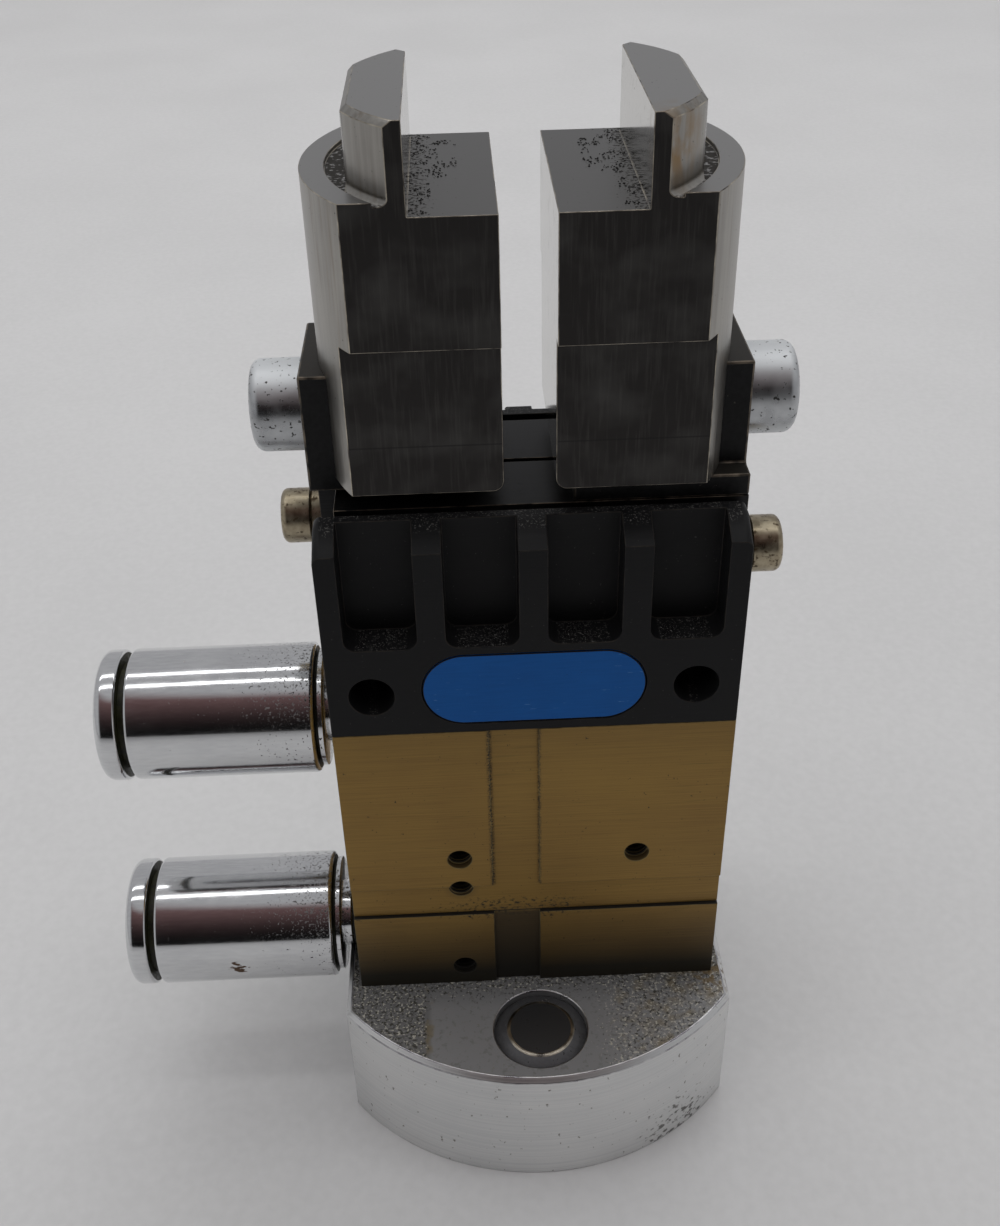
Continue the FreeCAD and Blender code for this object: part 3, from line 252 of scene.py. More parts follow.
# %% Black finishes
upward = facing(Z, one_way=True)
dull = {"Specular IOR Level": 0.18}
dust = both(specks(0.16, 0.60, 5.0), facing(Z, 0.975, 0.99, one_way=True))
# Hard anodised aluminium, milled: nearly black and dull, with fine lines and pale dust on the ledges.
black = finish(
    "black_anodised", ("111112", "181819"), 0.0, (0.4, 0.58), (2.5, 0.15, 0.15), 0.004,
    layers=[(dust, "5c5b59", 0.6, 0.0), (specks(0.3, 0.71, 2.0), "3d3c3b", 0.7, 0.0)], **dull,
)
# The same where hands and parts have rubbed it: a little browner, with some bare metal.
black_edge = finish(
    "black_worn_edge", ("18181a", "302d29"), 0.2, (0.38, 0.55), (0.8, 0.8, 0.8), 0.002, cloud=1.6, **dull,
)
# Steel blackened in a hot salt bath: dark and half metallic, with the tops painted lighter and browner as
# painted light.
dark = finish(
    "blackened_steel", ("171717", "222223"), 0.3, (0.36, 0.52), (0.5, 0.5, 0.5), 0.003,
    layers=[
        # Painted light: faces that look up are painted lighter and browner.
        (both(upward, 0.7), "37342f", 0.5, 0.6),
        (specks(0.35, 0.71, 3.0), "47433e", 0.6, 0.2),
    ],
    **dull,
)
# Its edges, where the steel shines through in pale brown spots.
dark_edge = finish(
    "blackened_edge", ("262524", "776d60"), 0.7, (0.32, 0.48), (1.0, 1.0, 1.0), 0.002, cloud=1.3,
)
print("black finishes:", black.name, dark.name)

# %% [markdown]
# ## Gold anodising
# The gold blocks are brushed along X before they are dyed, so their grain is long in X and very short in Z.
# Oily dirt and dust lie along the seam between the two blocks and the step at the strip's end, and the edges
# of the sunk strip are darker. Painted shade darkens the strip below the seam, the holes, the lower block
# towards the flange and the top under the housing. These places come from the drawing, in millimetres.

# %% Dirt and painted shade on the gold blocks
STRIP, STRIP_END, STEP_END = (-4.475, 0.395), 31.1, 4.5
SEAM, SEAM_MIDDLE = 27.05, (-2, -13.9, 27.5)
BLOCK_TOP = 52.4
HOLES = [(-7.85, 35.3), (-7.85, 30.85), (10.45, 35.3), (-7.85, 18.95)]
HOLE_HALFWAY, HOLE_END = -12.6, -11.4
walls = facing(Y, 0.95, 0.8)
strip_edges = either(line(X, STRIP[0], 0.36), both(line(X, STRIP[1], 0.26), 0.8))
above_end = fade(Z, STRIP_END - 0.3, STRIP_END + 0.3)
# Darker specks along the edges of the sunk strip.
strip_edge_darkening = both(specks(0.22, 0.36, 2.0, 0.3), strip_edges, above_end)
step_line = both(line(Z, STRIP_END, 0.12), between(X, 0.4, STEP_END), specks(0.5, 0.45, 3.0, 0.1))
# Painted shade: the sunk strip below the seam is darkened.
shaded_low_strip = both(between(X, *STRIP), fade(Z, SEAM + 0.4, SEAM - 0.4))
seam_line = line(Z, SEAM + 0.02, 0.1)
around_seam = both(line(Z, SEAM + 0.6, 2.6), near(SEAM_MIDDLE, 14))
seam_dust = specks((0.45, 0.45, 0.35), 0.50, 8.0, 0.16, where=around_seam)
# Painted shade: the lower block darkens towards the flange, a painted reflection of the flange and its
# contact shadow.
shade_towards_flange = both(fade(Z, 28.5, 18.0), 0.97)
# Painted shade: the top of the block darkens under the black housing.
shade_under_housing = both(fade(Z, 46.0, BLOCK_TOP), 0.22)


# Painted shade: the tapped holes are darkened inside.
def shade_in_hole(x, z):
    return either(near((x, HOLE_END, z), 2.9), both(near((x, HOLE_HALFWAY, z), 3.2), walls))


# Dirt and dust, and painted shade in the recesses, towards the flange and under the housing.
gold_dirt_and_shade = [
    (shade_under_housing, "4f4024", 0.5, 0.4),
    (shade_towards_flange, "0f110b", 0.6, 0.1),
    (both(shaded_low_strip, 0.75), "1d1b16", 0.55, 0.2),
    (step_line, "4a3a1d", 0.6, 0.2),
    (seam_dust, "2b2518", 0.75, 0.0),
    (seam_line, "15120c", 0.7, 0.0),
    (strip_edge_darkening, "1f1a10", 0.75, 0.0),
    (either(*[shade_in_hole(x, z) for x, z in HOLES]), "0c0a07", 0.8, 0.0),
]
print("layers of dirt on the gold:", len(gold_dirt_and_shade))

# %% Gold finishes
# Brushed aluminium, dyed gold and sealed: a warm satin sheen with long faint lines.
gold = finish(
    "gold_anodised", ("846632", "98793d"), 0.5, (0.38, 0.52), (9.0, 0.11, 0.11), 0.006,
    layers=[
        (both(specks((6.0, 2.0, 0.25), 0.62, 1.0, 0.12), 0.6), "75602f", 0.45, 0.5),
        *gold_dirt_and_shade,
        (specks(0.36, 0.715, 4.0), "33270f", 0.7, 0.0),
    ],
    cloud=14.0,
)
# The same where the dye is rubbed thin: paler and more like bare metal.
gold_edge = finish(
    "gold_worn_edge", ("6f5c37", "a8935f"), 0.7, (0.34, 0.48), (1.5, 1.5, 1.5), 0.002, gold_dirt_and_shade, cloud=2.0,
)
print("gold finishes:", gold.name, gold_edge.name)

# %% [markdown]
# ## The aluminium flange
# Metal shows what is around it, so its base colour only says how much it reflects. The turned rim carries
# fine rings, so its grain is short in Z. The top face has lain under coolant and chips: it is pitted on the
# left of a faint line, stained yellow on the right, and clean in between. The dirt is a dark speck and a
# bright speck.

# %% Dirt on the flange
LEFT_LINE, RIM_CORNER = -11.9, (19.5, -14.0, 16.2)
left_pits, right_pits = fade(X, LEFT_LINE + 0.5, LEFT_LINE - 0.5), both(fade(X, 3.0, 9.0), 0.85)
pitted = either(left_pits, right_pits, both(fade(Y, -19.0, -14.6), 0.95), fade(Y, 13.0, 15.0))
top_dark = both(specks(0.36, 0.49, 9.0, 0.12, pitted), upward)
top_light = both(specks(0.30, 0.56, 21.0, 0.1, either(pitted, fade(X, 2.0, 8.0))), upward)
stain_place = either(fade(X, 4.0, 12.0), line(X, LEFT_LINE, 0.8))
yellow = both(specks((1.6, 1.6, 1.6), 0.45, 3.0, 0.2, stain_place), upward, 0.45)
corner_rust = both(near(RIM_CORNER, 4.0), specks(0.7, 0.47, 4.0, 0.12), 0.8)
splash = both(specks((0.8, 0.8, 0.6), 0.52, 6.0, 0.1, near((14.7, -22.0, 1.0), 9.0)), 0.85)
shaded = both(either(fade(X, LEFT_LINE + 0.3, LEFT_LINE - 0.2), fade(Y, -17.5, -14.5)), upward, 0.4)
print("the flange is pitted to the left of x =", LEFT_LINE)

# %% Flange finishes
# Turned aluminium, left bare: a pale satin side, and a top painted a darker grey, a painted reflection of the
# dark room.
aluminium = finish(
    "satin_aluminium", ("d5d6d6", "e6e6e5"), 1.0, (0.34, 0.5), (60.0, 60.0, 0.12), 0.004,
    layers=[
        # Painted reflection: faces that look up are painted a darker grey.
        (upward, "868687", 0.5, 0.4),
        (shaded, "393936", 0.6, 0.3),
        (yellow, "7d6a38", 0.5, 0.5),
        (both(specks(0.5, 0.56, 11.0, 0.14), upward, 0.45), "5c5b57", 0.6, 0.3),
        (top_dark, "36342e", 0.75, 0.1),
        (top_light, "bcb9ae", 0.45, 0.4),
        (corner_rust, "5d4a26", 0.7, 0.1),
        (splash, "4b4843", 0.7, 0.1),
        (specks((0.5, 0.5, 0.8), 0.68, 7.0, 0.08), "7f7b73", 0.6, 0.5),
    ],
    cloud=12.0,
)
# Its bevelled rim: freshly cut and bright, with dull patches.
aluminium_edge = finish(
    "aluminium_edge", ("8d8b90", "e4e4e4"), 1.0, (0.24, 0.36), (2.0, 2.0, 2.0), 0.001, cloud=5.0,
)
# Hardened dowel steel, ground and oily: dark grey, with a smoother end face.
dowel_steel = finish(
    "dark_steel", ("58585a", "6a6a6c"), 0.7, (0.5, 0.65), (0.4, 0.4, 0.4), 0.003,
    layers=[
        (facing(Z, 0.98, 0.995, one_way=True), "464647", 0.45, 0.8),
        (specks(0.35, 0.68, 5.0), "1d1c1b", 0.7, 0.2),
    ],
)
print("flange finishes:", aluminium.name, dowel_steel.name)

# %% [markdown]
# ## The steel fingers
# One bar, four looks: turned sides with faint upright streaks, dark burnished flats in front and behind,
# satin tops, and inner faces ground so smooth that they mirror the floor. The direction of a face says which
# look it gets. Swarf dirt gathers at the blade's foot and fills the groove round it; the right blade is heat
# stained.

# %% Finger finishes
PLATEAU_TOP, MILLED_STEP, HEATED = 101.9, 81.1, (12.2, -11.0, 106.4)
flats, ground_faces = facing(Y), facing(X, 0.985, 0.995)
plateau = both(upward, fade(Z, PLATEAU_TOP + 0.1, PLATEAU_TOP))
groove = both(fade(Z, 102.85, 102.7), fade(Z, 102.3, 102.5), upward, specks(0.4, 0.34, 4.0, 0.1))
foot = either(fade(X, -6.0, -9.0), fade(X, 6.0, 9.0))
heat = both(near(HEATED, 4.5), specks((1.2, 1.2, 2.0), 0.38, 7.0, 0.25), walls, 0.85)
# Machined tool steel: bright where it is ground, streaked where it is turned, dark where it is burnished.
steel = finish(
    "machined_steel", ("8d8a85", "a6a39d"), 1.0, (0.28, 0.4), (0.6, 0.6, 14.0), 0.004,
    layers=[
        (both(specks((0.8, 0.8, 12.0), 0.55, 8.0, 0.2), 0.5), "77695a", 0.4, 1.0),
        (flats, "312f2e", 0.42, 0.85),
        (both(specks((0.25, 0.25, 4.0), 0.50, 3.0, 0.35), flats, 0.3), "605e5b", 0.4, 0.9),
        (both(specks((5.0, 5.0, 4.0), 0.45, 6.0, 0.3), flats, 0.5), "545351", 0.45, 0.8),
        # Painted shade: a dark line along the step between the upper and the set-back lower flats.
        (both(line(Z, MILLED_STEP, 0.1), flats, 0.6), "121212", 0.5, 0.5),
        (upward, "9a9998", 0.36, 1.0),
        (plateau, "706f6e", 0.36, 1.0),
        (ground_faces, "c4c2bd", 0.12, 1.0),
        (both(specks((0.3, 0.3, 1.6), 0.64, 5.0, 0.08), ground_faces, 0.6), "7d7b78", 0.35, 0.9),
        (both(specks(0.34, 0.48, 12.0, 0.08, foot), plateau), "22201d", 0.8, 0.0),
        (groove, "23201c", 0.8, 0.0),
        (heat, "8a6f48", 0.35, 0.8),
        (specks(0.3, 0.72, 2.0), "2b2927", 0.6, 0.3),
    ],
)
# Its edges, broken with a stone: bright in places, brown where the right blade was hot.
steel_edge = finish(
    "steel_edge", ("5e5954", "c4bcac"), 1.0, (0.26, 0.38), (1.5, 1.5, 1.5), 0.002,
    layers=[(heat, "6b4a26", 0.35, 0.8)], cloud=1.6,
)
print("finger finishes:", steel.name, steel_edge.name)

# %% [markdown]
# ## Plated parts
# Nickel plate has hardly any roughness, and it is the dirt on it that makes it believable: black specks that
# grow denser towards the body, and one brown chip on the lower fitting. The gap under the release collar is
# dark with oily dirt and painted shade. The zinc of the M5 screws is duller, and the M3 screws have gone
# brown.

# %% Plated finishes
CHIP = (-32.7, -13.2, 19.3)
chip = specks((1.3, 0.6, 0.6), 0.45, 3.0, 0.03, near(CHIP, 1.8))
fine_specks = specks(0.24, 0.57, 9.0, 0.05, fade(X, -44.0, -24.0))
# Nickel plate on brass: a clear mirror with sharp reflections, peppered with black dirt.
chrome = finish(
    "nickel_plate", ("d0d1d3", "dcddde"), 1.0, (0.08, 0.14), (1.6, 0.3, 0.3), 0.0006,
    layers=[
        (specks(0.32, 0.62, 6.0, 0.04, fade(X, -43.0, -22.0)), "2f2d2a", 0.6, 0.2),
        (both(fine_specks, facing(Z, 0.3, 0.8, one_way=True), 0.8), "3a3835", 0.6, 0.2),
        (specks(0.28, 0.735, 1.0), "2c2a28", 0.6, 0.2),
        (chip, "50371f", 0.7, 0.0),
    ],
)
# Old oil and dust, and painted shade: a soft greenish black that hides the bottom of a gap.
oil_and_shade = finish("oily_shaded_gap", ("10110a", "35351c"), 0.0, (0.35, 0.6), (0.4, 0.4, 0.4), 0.004, cloud=1.0)
# Zinc plate on steel screws: a blurred cool shine, with a painted highlight on faces that look up and a
# painted reflection of the floor on faces that look down.
painted_sheen_above_below = either(facing(Z, 0.4, 0.8, one_way=True), facing(Z, -0.45, -0.75, one_way=True))
zinc = finish(
    "zinc_steel", ("a7a9ab", "c0c2c4"), 1.0, (0.24, 0.34), (1.4, 1.4, 1.4), 0.0015,
    layers=[(painted_sheen_above_below, "d9dcde", 0.45, 0.55), (specks(0.4, 0.64, 4.0), "3c3b39", 0.55, 0.5)], cloud=3.0,
)
# Nickel that oil has stained: warm, yellowish and patchy.
stained = finish(
    "stained_nickel", ("8d816c", "b5aa93"), 1.0, (0.26, 0.4), (0.7, 0.7, 0.7), 0.002,
    layers=[(specks(0.6, 0.58, 2.0, 0.1), "4d3f2b", 0.5, 0.6)], cloud=1.8,
)
print("plated finishes:", chrome.name, zinc.name, stained.name)

# %% [markdown]
# ## Rails, plate and what is hidden
# The rails are ground steel, dark with oil. The plate is a plain blue enamelled sheet. Seals, spring, piston
# and magnets hardly show, but the model can be opened or moved, so they get finishes of their own.

# %% Rail and plate finishes
# Ground steel under a film of oil: dark and smooth, with long lines.
ground = finish(
    "ground_steel", ("1e1e1f", "2e2e2f"), 0.8, (0.3, 0.45), (8.0, 0.15, 0.15), 0.002,
    layers=[(specks(0.3, 0.66, 5.0), "161615", 0.7, 0.0)],
)
# Enamel on sheet metal: an even deep blue with a few fine scratches.
blue = finish(
    "blue_plate", ("045198", "0a58a2"), 0.0, (0.3, 0.42), (3.0, 3.0, 0.2), 0.001,
    layers=[
        (specks((1.2, 1.2, 0.15), 0.72, 3.0), "4f83b8", 0.45, 0.0),
        (specks(0.2, 0.73, 6.0), "102a48", 0.5, 0.0),
    ],
    **dull,
)
print("rail and plate finishes:", ground.name, blue.name)

# %% Hidden finishes
# Nitrile rubber, moulded: black and dull.
rubber = finish("seal_rubber", ("1a1b1a", "262724"), 0.0, (0.5, 0.7), (0.4, 0.4, 0.4), 0.004)
# Hardened steel, ground along X: a plain grey shine. Chips of it glitter.
hardened = finish("hardened_steel", ("6d6c6a", "8a8886"), 1.0, (0.25, 0.4), (6.0, 0.2, 0.2), 0.003)
# Aluminium, turned: pale and satin.
piston_metal = finish("piston_aluminium", ("a9aaab", "c3c4c5"), 1.0, (0.3, 0.42), (0.2, 0.2, 0.2), 0.003)
# Sintered magnet with a nickel skin: a dull warm grey.
magnet = finish("magnet", ("595856", "72706d"), 1.0, (0.35, 0.5), (0.4, 0.4, 0.4), 0.003)
# Drawn spring wire: smooth, grey and bright.
spring_wire = finish("spring_steel", ("737270", "94928f"), 1.0, (0.22, 0.35), (0.3, 0.3, 0.3), 0.003)
finishes = {
    "satin_aluminium": aluminium,
    "dark_steel": dowel_steel,
    "zinc_steel": zinc,
    "stained_nickel": stained,
    "gold_anodised": gold,
    "black_anodised": black,
    "blue_plate": blue,
    "nickel_plate": chrome,
    "blackened_steel": dark,
    "ground_steel": ground,
    "seal_rubber": rubber,
    "hardened_steel": hardened,
    "piston_aluminium": piston_metal,
    "magnet": magnet,
    "spring_steel": spring_wire,
}
slot_of = {part["node"]: part["material_slot"] for part in frame["record"]["subparts"]}
for node, thing in frame["nodes"].items():
    thing.data.materials.clear()
    thing.data.materials.append(finishes[slot_of[node]])
print("nodes with a finish:", len(slot_of))

# %% [markdown]
# ## Placing a piece
# A finished piece sits at the origin with its place in its mesh. It rides on the body of the node that it
# stands for and hides that node. Faces within 35 degrees of each other are shaded as one curve, and sharper
# ones keep a crisp edge.

# %% Placing pieces
CURVE_ANGLE = 35


def keep(piece, node, stands=True, shaded_by_angle=True):
    if shaded_by_angle:
        piece.data.set_sharp_from_angle(angle=math.radians(CURVE_ANGLE))
    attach(piece, frame["nodes"][node]["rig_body"])
    if stands:
        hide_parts(node)
    print(piece.name, len(piece.data.polygons), "faces")
    return piece


def linked(name, mesh, materials):
    for material in materials:
        mesh.materials.append(material)
    piece = bpy.data.objects.new(name, mesh)
    bpy.context.scene.collection.objects.link(piece)
    return piece


def piece_from(name, corners, faces, materials, second=()):
    mesh = bpy.data.meshes.new(name)
    mesh.from_pydata(corners, [], faces)
    mesh.update()
    mesh.polygons.foreach_set("use_smooth", [True] * len(mesh.polygons))
    for face in second:
        mesh.polygons[face].material_index = 1
    return linked(name, mesh, materials)


def evaluated(piece):
    """The piece with its modifiers worked into its mesh."""
    made = bpy.data.meshes.new_from_object(piece.evaluated_get(bpy.context.evaluated_depsgraph_get()))
    piece.modifiers.clear()
    piece.data = made
    return piece


# %% [markdown]
# ## Real edges are never sharp
# A CAD solid has perfectly sharp edges, which catch no light. Each milled part is copied, its flat triangles
# are dissolved into whole faces, and a Bevel modifier breaks the edges by one to three tenths of a
# millimetre. The modifier can give the new strips a material of their own, which is the easy way to worn,
# shiny edges. Loop Slide is off and the strip's width is what is set, because thin walls then get no folded
# corners. Weighted normals keep the big faces flat.

# %% Milled parts with worn edges
MERGE, FLAT_ANGLE, EDGE_ANGLE = 0.0005, 0.5, 40


def milled(node, width, face, edge):
    shape = bmesh.new()
    shape.from_mesh(frame["nodes"][node].data)
    bmesh.ops.remove_doubles(shape, verts=shape.verts, dist=MERGE * MM)
    flat = math.radians(FLAT_ANGLE)
    bmesh.ops.dissolve_limit(shape, angle_limit=flat, verts=shape.verts, edges=shape.edges)
    for side in shape.faces:
        side.smooth = True
        side.material_index = 0
    mesh = bpy.data.meshes.new(f"{node}_milled")
    shape.to_mesh(mesh)
    shape.free()
    old_normals = mesh.attributes.get("custom_normal")
    if old_normals:
        mesh.attributes.remove(old_normals)
    piece = linked(f"{node}_milled", mesh, [face, edge])
    bevel = piece.modifiers.new("edges", "BEVEL")
    bevel.width = width * MM
    bevel.segments = 2
    bevel.limit_method = "ANGLE"
    bevel.angle_limit = math.radians(EDGE_ANGLE)
    bevel.use_clamp_overlap = False
    bevel.miter_outer = "MITER_ARC"
    bevel.loop_slide = False
    bevel.offset_type = "WIDTH"
    bevel.material = 1
    flat_faces = piece.modifiers.new("flat_faces", "WEIGHTED_NORMAL")
    flat_faces.keep_sharp = True
    flat_faces.weight = 100
    return keep(evaluated(piece), node, shaded_by_angle=False)


milled("guide_housing", 0.13, black, black_edge)
milled("cylinder_body", 0.11, gold, gold_edge)
milled("spring_housing", 0.11, gold, gold_edge)
milled("mounting_flange", 0.2, aluminium, aluminium_edge)
milled("name_plate", 0.13, blue, black)
for side in ("left", "right"):
    milled(f"{side}_finger", 0.1, steel, steel_edge)
    milled(f"{side}_jaw_bracket", 0.3, dark, dark_edge)
    milled(f"{side}_jaw_rail", 0.11, ground, dark_edge)

# %% [markdown]
# ## Turned parts
# A lathe makes rings round an axis, and so does this function: it takes a list of rings, each a distance
# along the axis and a radius, and joins them with faces. A ring can also be a hexagon, which is how the
# sockets of the cap screws are made. `round_off` gives the points of a rounded rim, and the rows of faces
# named in `second_rows` get the second material.

# %% The lathe
STEPS = 96


def ring_points(radius, hexagonal):
    for i in range(STEPS):
        angle = 2 * math.pi * i / STEPS
        turn = (angle + math.pi / 6) % (math.pi / 3) - math.pi / 6
        reach = radius / math.cos(turn) if hexagonal else radius
        yield reach * math.cos(angle), reach * math.sin(angle)


def round_off(along, radius, size, start, stop, count=6):
    angles = [math.radians(start + (stop - start) * i / count) for i in range(count + 1)]
    return [(along + size * math.sin(a), radius + size * math.cos(a)) for a in angles]


def turned(name, rings, origin, axis, materials, closed=False, second_rows=()):
    turn = Vector((0, 0, 1)).rotation_difference(Vector(axis)).to_matrix()
    corners, faces = [], []
    for ring in rings:
        for x, y in ring_points(ring[1], len(ring) > 2):
            corners.append(Vector(origin) + turn @ Vector((x, y, ring[0])) * MM)
    rows = len(rings)
    for row in range(rows if closed else rows - 1):
        a, b = row * STEPS, (row + 1) % rows * STEPS
        for i in range(STEPS):
            j = (i + 1) % STEPS
            faces.append((a + i, a + j, b + j, b + i))
    if not closed:
        faces.append(tuple(reversed(range(STEPS))))
        faces.append(tuple((rows - 1) * STEPS + i for i in range(STEPS)))
    second = [row * STEPS + i for row in second_rows for i in range(STEPS)]
    return piece_from(name, corners, faces, materials, second)


# %% [markdown]
# ## Cap screws
# The heads of the M5 and M3 screws are cold formed: a generous rounding at the rim, a flat ring, and a
# hexagon socket with a small countersink. The list runs from the tip of the shank, over the head, into the
# socket, which is dark with oily dirt and painted shade.

# %% Cap screws
SIDES = (("left", -1), ("right", 1))
SLACK, TIP_BEVEL, SEAT_BEVEL, COUNTERSINK = 0.05, 0.3, 0.15, 0.25


def cap_screw(node, head, rise, shank, socket, material, away):
    low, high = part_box(node)
    middle = (low + high) / 2
    top = high.x if away > 0 else low.x
    seat = Vector((top - away * rise * MM, middle.y, middle.z))
    length = (high.x - low.x) / MM - rise
    rim, stem = 0.12 * head, shank / 2 - SLACK
    rings = [(-length, shank / 2 - TIP_BEVEL), (-length + TIP_BEVEL, stem), (-SLACK, stem)]
    rings += [(0.0, shank / 2), (0.0, head / 2 - SEAT_BEVEL), (SEAT_BEVEL, head / 2)]
    rings += round_off(rise - rim, head / 2 - rim, rim, 0, 90)
    rings += [(rise, socket * 0.62), (rise - COUNTERSINK, socket / 2, "hex")]
    rings += [(rise * 0.5, socket / 2, "hex"), (rise * 0.42, 0.2, "hex")]
    in_socket = [len(rings) - 3, len(rings) - 2]
    both_finishes = [material, oil_and_shade]
    screw = turned(f"{node}_turned", rings, seat, (away, 0, 0), both_finishes, second_rows=in_socket)
    return keep(screw, node)


for side, away in SIDES:
    cap_screw(f"{side}_finger_screw", 8.5, 4.9, 5.0, 4.0, zinc, away)
    cap_screw(f"{side}_end_screw", 5.5, 3.0, 3.0, 2.5, stained, away)

# %% [markdown]
# ## Washers and dowels
# The short washers under the M3 heads have a bevel on each rim. The dowels in the flange are ground pins with
# a wide bevel, pressed in flush, so the bevel shows as a ring in the flange's top face. Where it meets the
# pin's end, a rounded lip gets the bright edge finish: worn steel with a painted highlight.

# %% Washers
THICK, BORE, RIM, BEVEL = 1.2, 1.56, 2.65, 0.15
washer = [(0, BORE), (0, RIM - BEVEL), (BEVEL, RIM)]
washer += [(THICK - BEVEL, RIM), (THICK, RIM - BEVEL), (THICK, BORE)]
for side, away in SIDES:
    low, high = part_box(f"{side}_end_washer")
    start = Vector((low.x if away > 0 else high.x, (low.y + high.y) / 2, (low.z + high.z) / 2))
    ring = turned(f"{side}_washer_turned", washer, start, (away, 0, 0), [stained], closed=True)
    keep(ring, f"{side}_end_washer")

# %% Dowels
DOWEL_LENGTH, DOWEL_RADIUS, FOOT_BEVEL = 12.0, 5.0, 0.4
dowel = [(-DOWEL_LENGTH, DOWEL_RADIUS - FOOT_BEVEL), (-DOWEL_LENGTH + FOOT_BEVEL, DOWEL_RADIUS)]
dowel += [(-0.95, DOWEL_RADIUS), (-0.85, 4.93), (-0.14, 3.62), (-0.03, 3.46), (0.0, 3.25)]
# Worn edge and painted highlight: the lip where the bevel meets the pin's end.
worn_highlight_rim = [len(dowel) - 3, len(dowel) - 2]
low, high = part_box("flange_dowels")
front, rear = low.y + DOWEL_RADIUS * MM, high.y - DOWEL_RADIUS * MM
for name, y, stands in (("front_dowel_turned", front, True), ("rear_dowel_turned", rear, False)):
    pin_finishes = [dowel_steel, steel_edge]
    pin = turned(name, dowel, (0, y, high.z), (0, 0, 1), pin_finishes, second_rows=worn_highlight_rim)
    keep(pin, "flange_dowels", stands)

# %% [markdown]
# ## Push-in fittings
# A push-in fitting is a plated sleeve with a release collar in its mouth. The rings run from the thread over
# the outside to the mouth and back through the bore, and the last ring joins the first, so the part is a
# closed tube. The rims are rounded because plated rims always are. Distances are counted from the block's
# side. The groove beside the end ring and all that lies inside the mouth are dark with oil and painted shade.

# %% Fitting sleeves
BLOCK_SIDE, SLEEVE, SLEEVE_ROUND, COLLAR_SEAT = 19.45, 6.95, 0.4, 5.0
STUD = [(-4.5, 1.5), (-4.5, 2.2), (-4.2, 2.45), (0.8, 2.45)]
NECK = [(0.8, 3.55), (0.95, 3.7), (1.85, 3.7)]
END_RING = [(1.85, 6.1), (1.95, 6.25), (2.38, 6.25), (2.45, 6.18)]
GROOVE = [(2.45, 5.55), (2.75, 5.55)]
TUBE_STOP = [(11.5, 4.8), (11.5, 3.1), (6, 3.1), (6, 1.5)]


def from_side(node):
    """A fitting part's axis at the block's side, and how far the part reaches out from there."""
    low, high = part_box(node)
    return (-BLOCK_SIDE * MM, (low.y + high.y) / 2, (low.z + high.z) / 2), -low.x / MM - BLOCK_SIDE


for name in ("upper", "lower"):
    place, end = from_side(f"{name}_fitting_body")
    rings = STUD + NECK + END_RING
    groove_rows = [len(rings) - 1, len(rings), len(rings) + 1]
    rings += GROOVE
    near_end, far_end = GROOVE[-1][0] + SLEEVE_ROUND, end - SLEEVE_ROUND
    rings += round_off(near_end, SLEEVE - SLEEVE_ROUND, SLEEVE_ROUND, -90, 0)
    rings += round_off(far_end, SLEEVE - SLEEVE_ROUND, SLEEVE_ROUND, 0, 90)
    mouth = len(rings)
    rings += [(end, 5.9), (end - 0.15, 5.75), (end - COLLAR_SEAT, 5.75), (end - COLLAR_SEAT, 4.8)]
    rings += TUBE_STOP
    oily_shaded_rows = [*groove_rows, *range(mouth, len(rings))]
    sleeve = turned(f"{name}_fitting_turned", rings, place, (-1, 0, 0), [chrome, oil_and_shade], True, oily_shaded_rows)
    keep(sleeve, f"{name}_fitting_body")

# %% [markdown]
# The release collar is a flanged bush: a sleeve with a catch that stays inside, and a rounded head that a
# finger pushes. Its tube hole has a small round mouth, and what lies under the head is dark with oil and
# painted shade.

# %% Release collars
COLLAR_LENGTH, HEAD_HEIGHT, CATCH = 9.3, 2.3, 2.7
UNDER_ROUND, HEAD_ROUND = 0.3, 0.9
for name in ("upper", "lower"):
    place, top = from_side(f"{name}_release_collar")
    start, base = top - COLLAR_LENGTH, top - HEAD_HEIGHT
    rings = [(start, 3.1), (start, 4.65), (start + CATCH, 4.65), (start + CATCH, 5.6)]
    rings += [(base, 5.6), (base, 6.5)]
    rings += round_off(base + UNDER_ROUND, SLEEVE - UNDER_ROUND, UNDER_ROUND, -90, 0)
    rings += round_off(top - HEAD_ROUND, SLEEVE - HEAD_ROUND, HEAD_ROUND, 0, 90)
    rings += [(top, 3.7), (top - 0.06, 3.4), (top - 0.25, 3.18), (top - 0.6, 3.1)]
    collar = turned(f"{name}_collar_turned", rings, place, (-1, 0, 0), [chrome, oil_and_shade], True, [2, 3, 4, 5])
    keep(collar, f"{name}_release_collar")

# %% [markdown]
# ## Wound wire
# A compression spring and a tapped thread are both a helix, and Geometry Nodes follow such a path well: a
# spiral curve lies flat, an offset lifts it by its share of the way, and a round profile carried along it
# makes the wire. `Flat Ends` is the share of the path at each end that doesn't climb, as on a spring with
# closed ends.

# %% The winding tree
winding = bpy.data.node_groups.new("wind_wire", "GeometryNodeTree")
for label in ("Coil", "Wire", "Turns", "Height", "Flat Ends"):
    winding.interface.new_socket(label, in_out="INPUT", socket_type="NodeSocketFloat")
winding.interface.new_socket("Finish", in_out="INPUT", socket_type="NodeSocketMaterial")
winding.interface.new_socket("Wound", in_out="OUTPUT", socket_type="NodeSocketGeometry")
given = winding.nodes.new("NodeGroupInput").outputs
circles = {"Resolution": 36, "Start Radius": given["Coil"], "End Radius": given["Coil"], "Height": 0.0}
path = add(winding, "GeometryNodeCurveSpiral", {**circles, "Rotations": given["Turns"]})
share = add(winding, "GeometryNodeSplineParameter")
last = add(winding, MATH, {0: 1.0, 1: given["Flat Ends"]}, operation="SUBTRACT")
climb = {"Value": share, "From Min": given["Flat Ends"], "From Max": last, "To Max": given["Height"]}
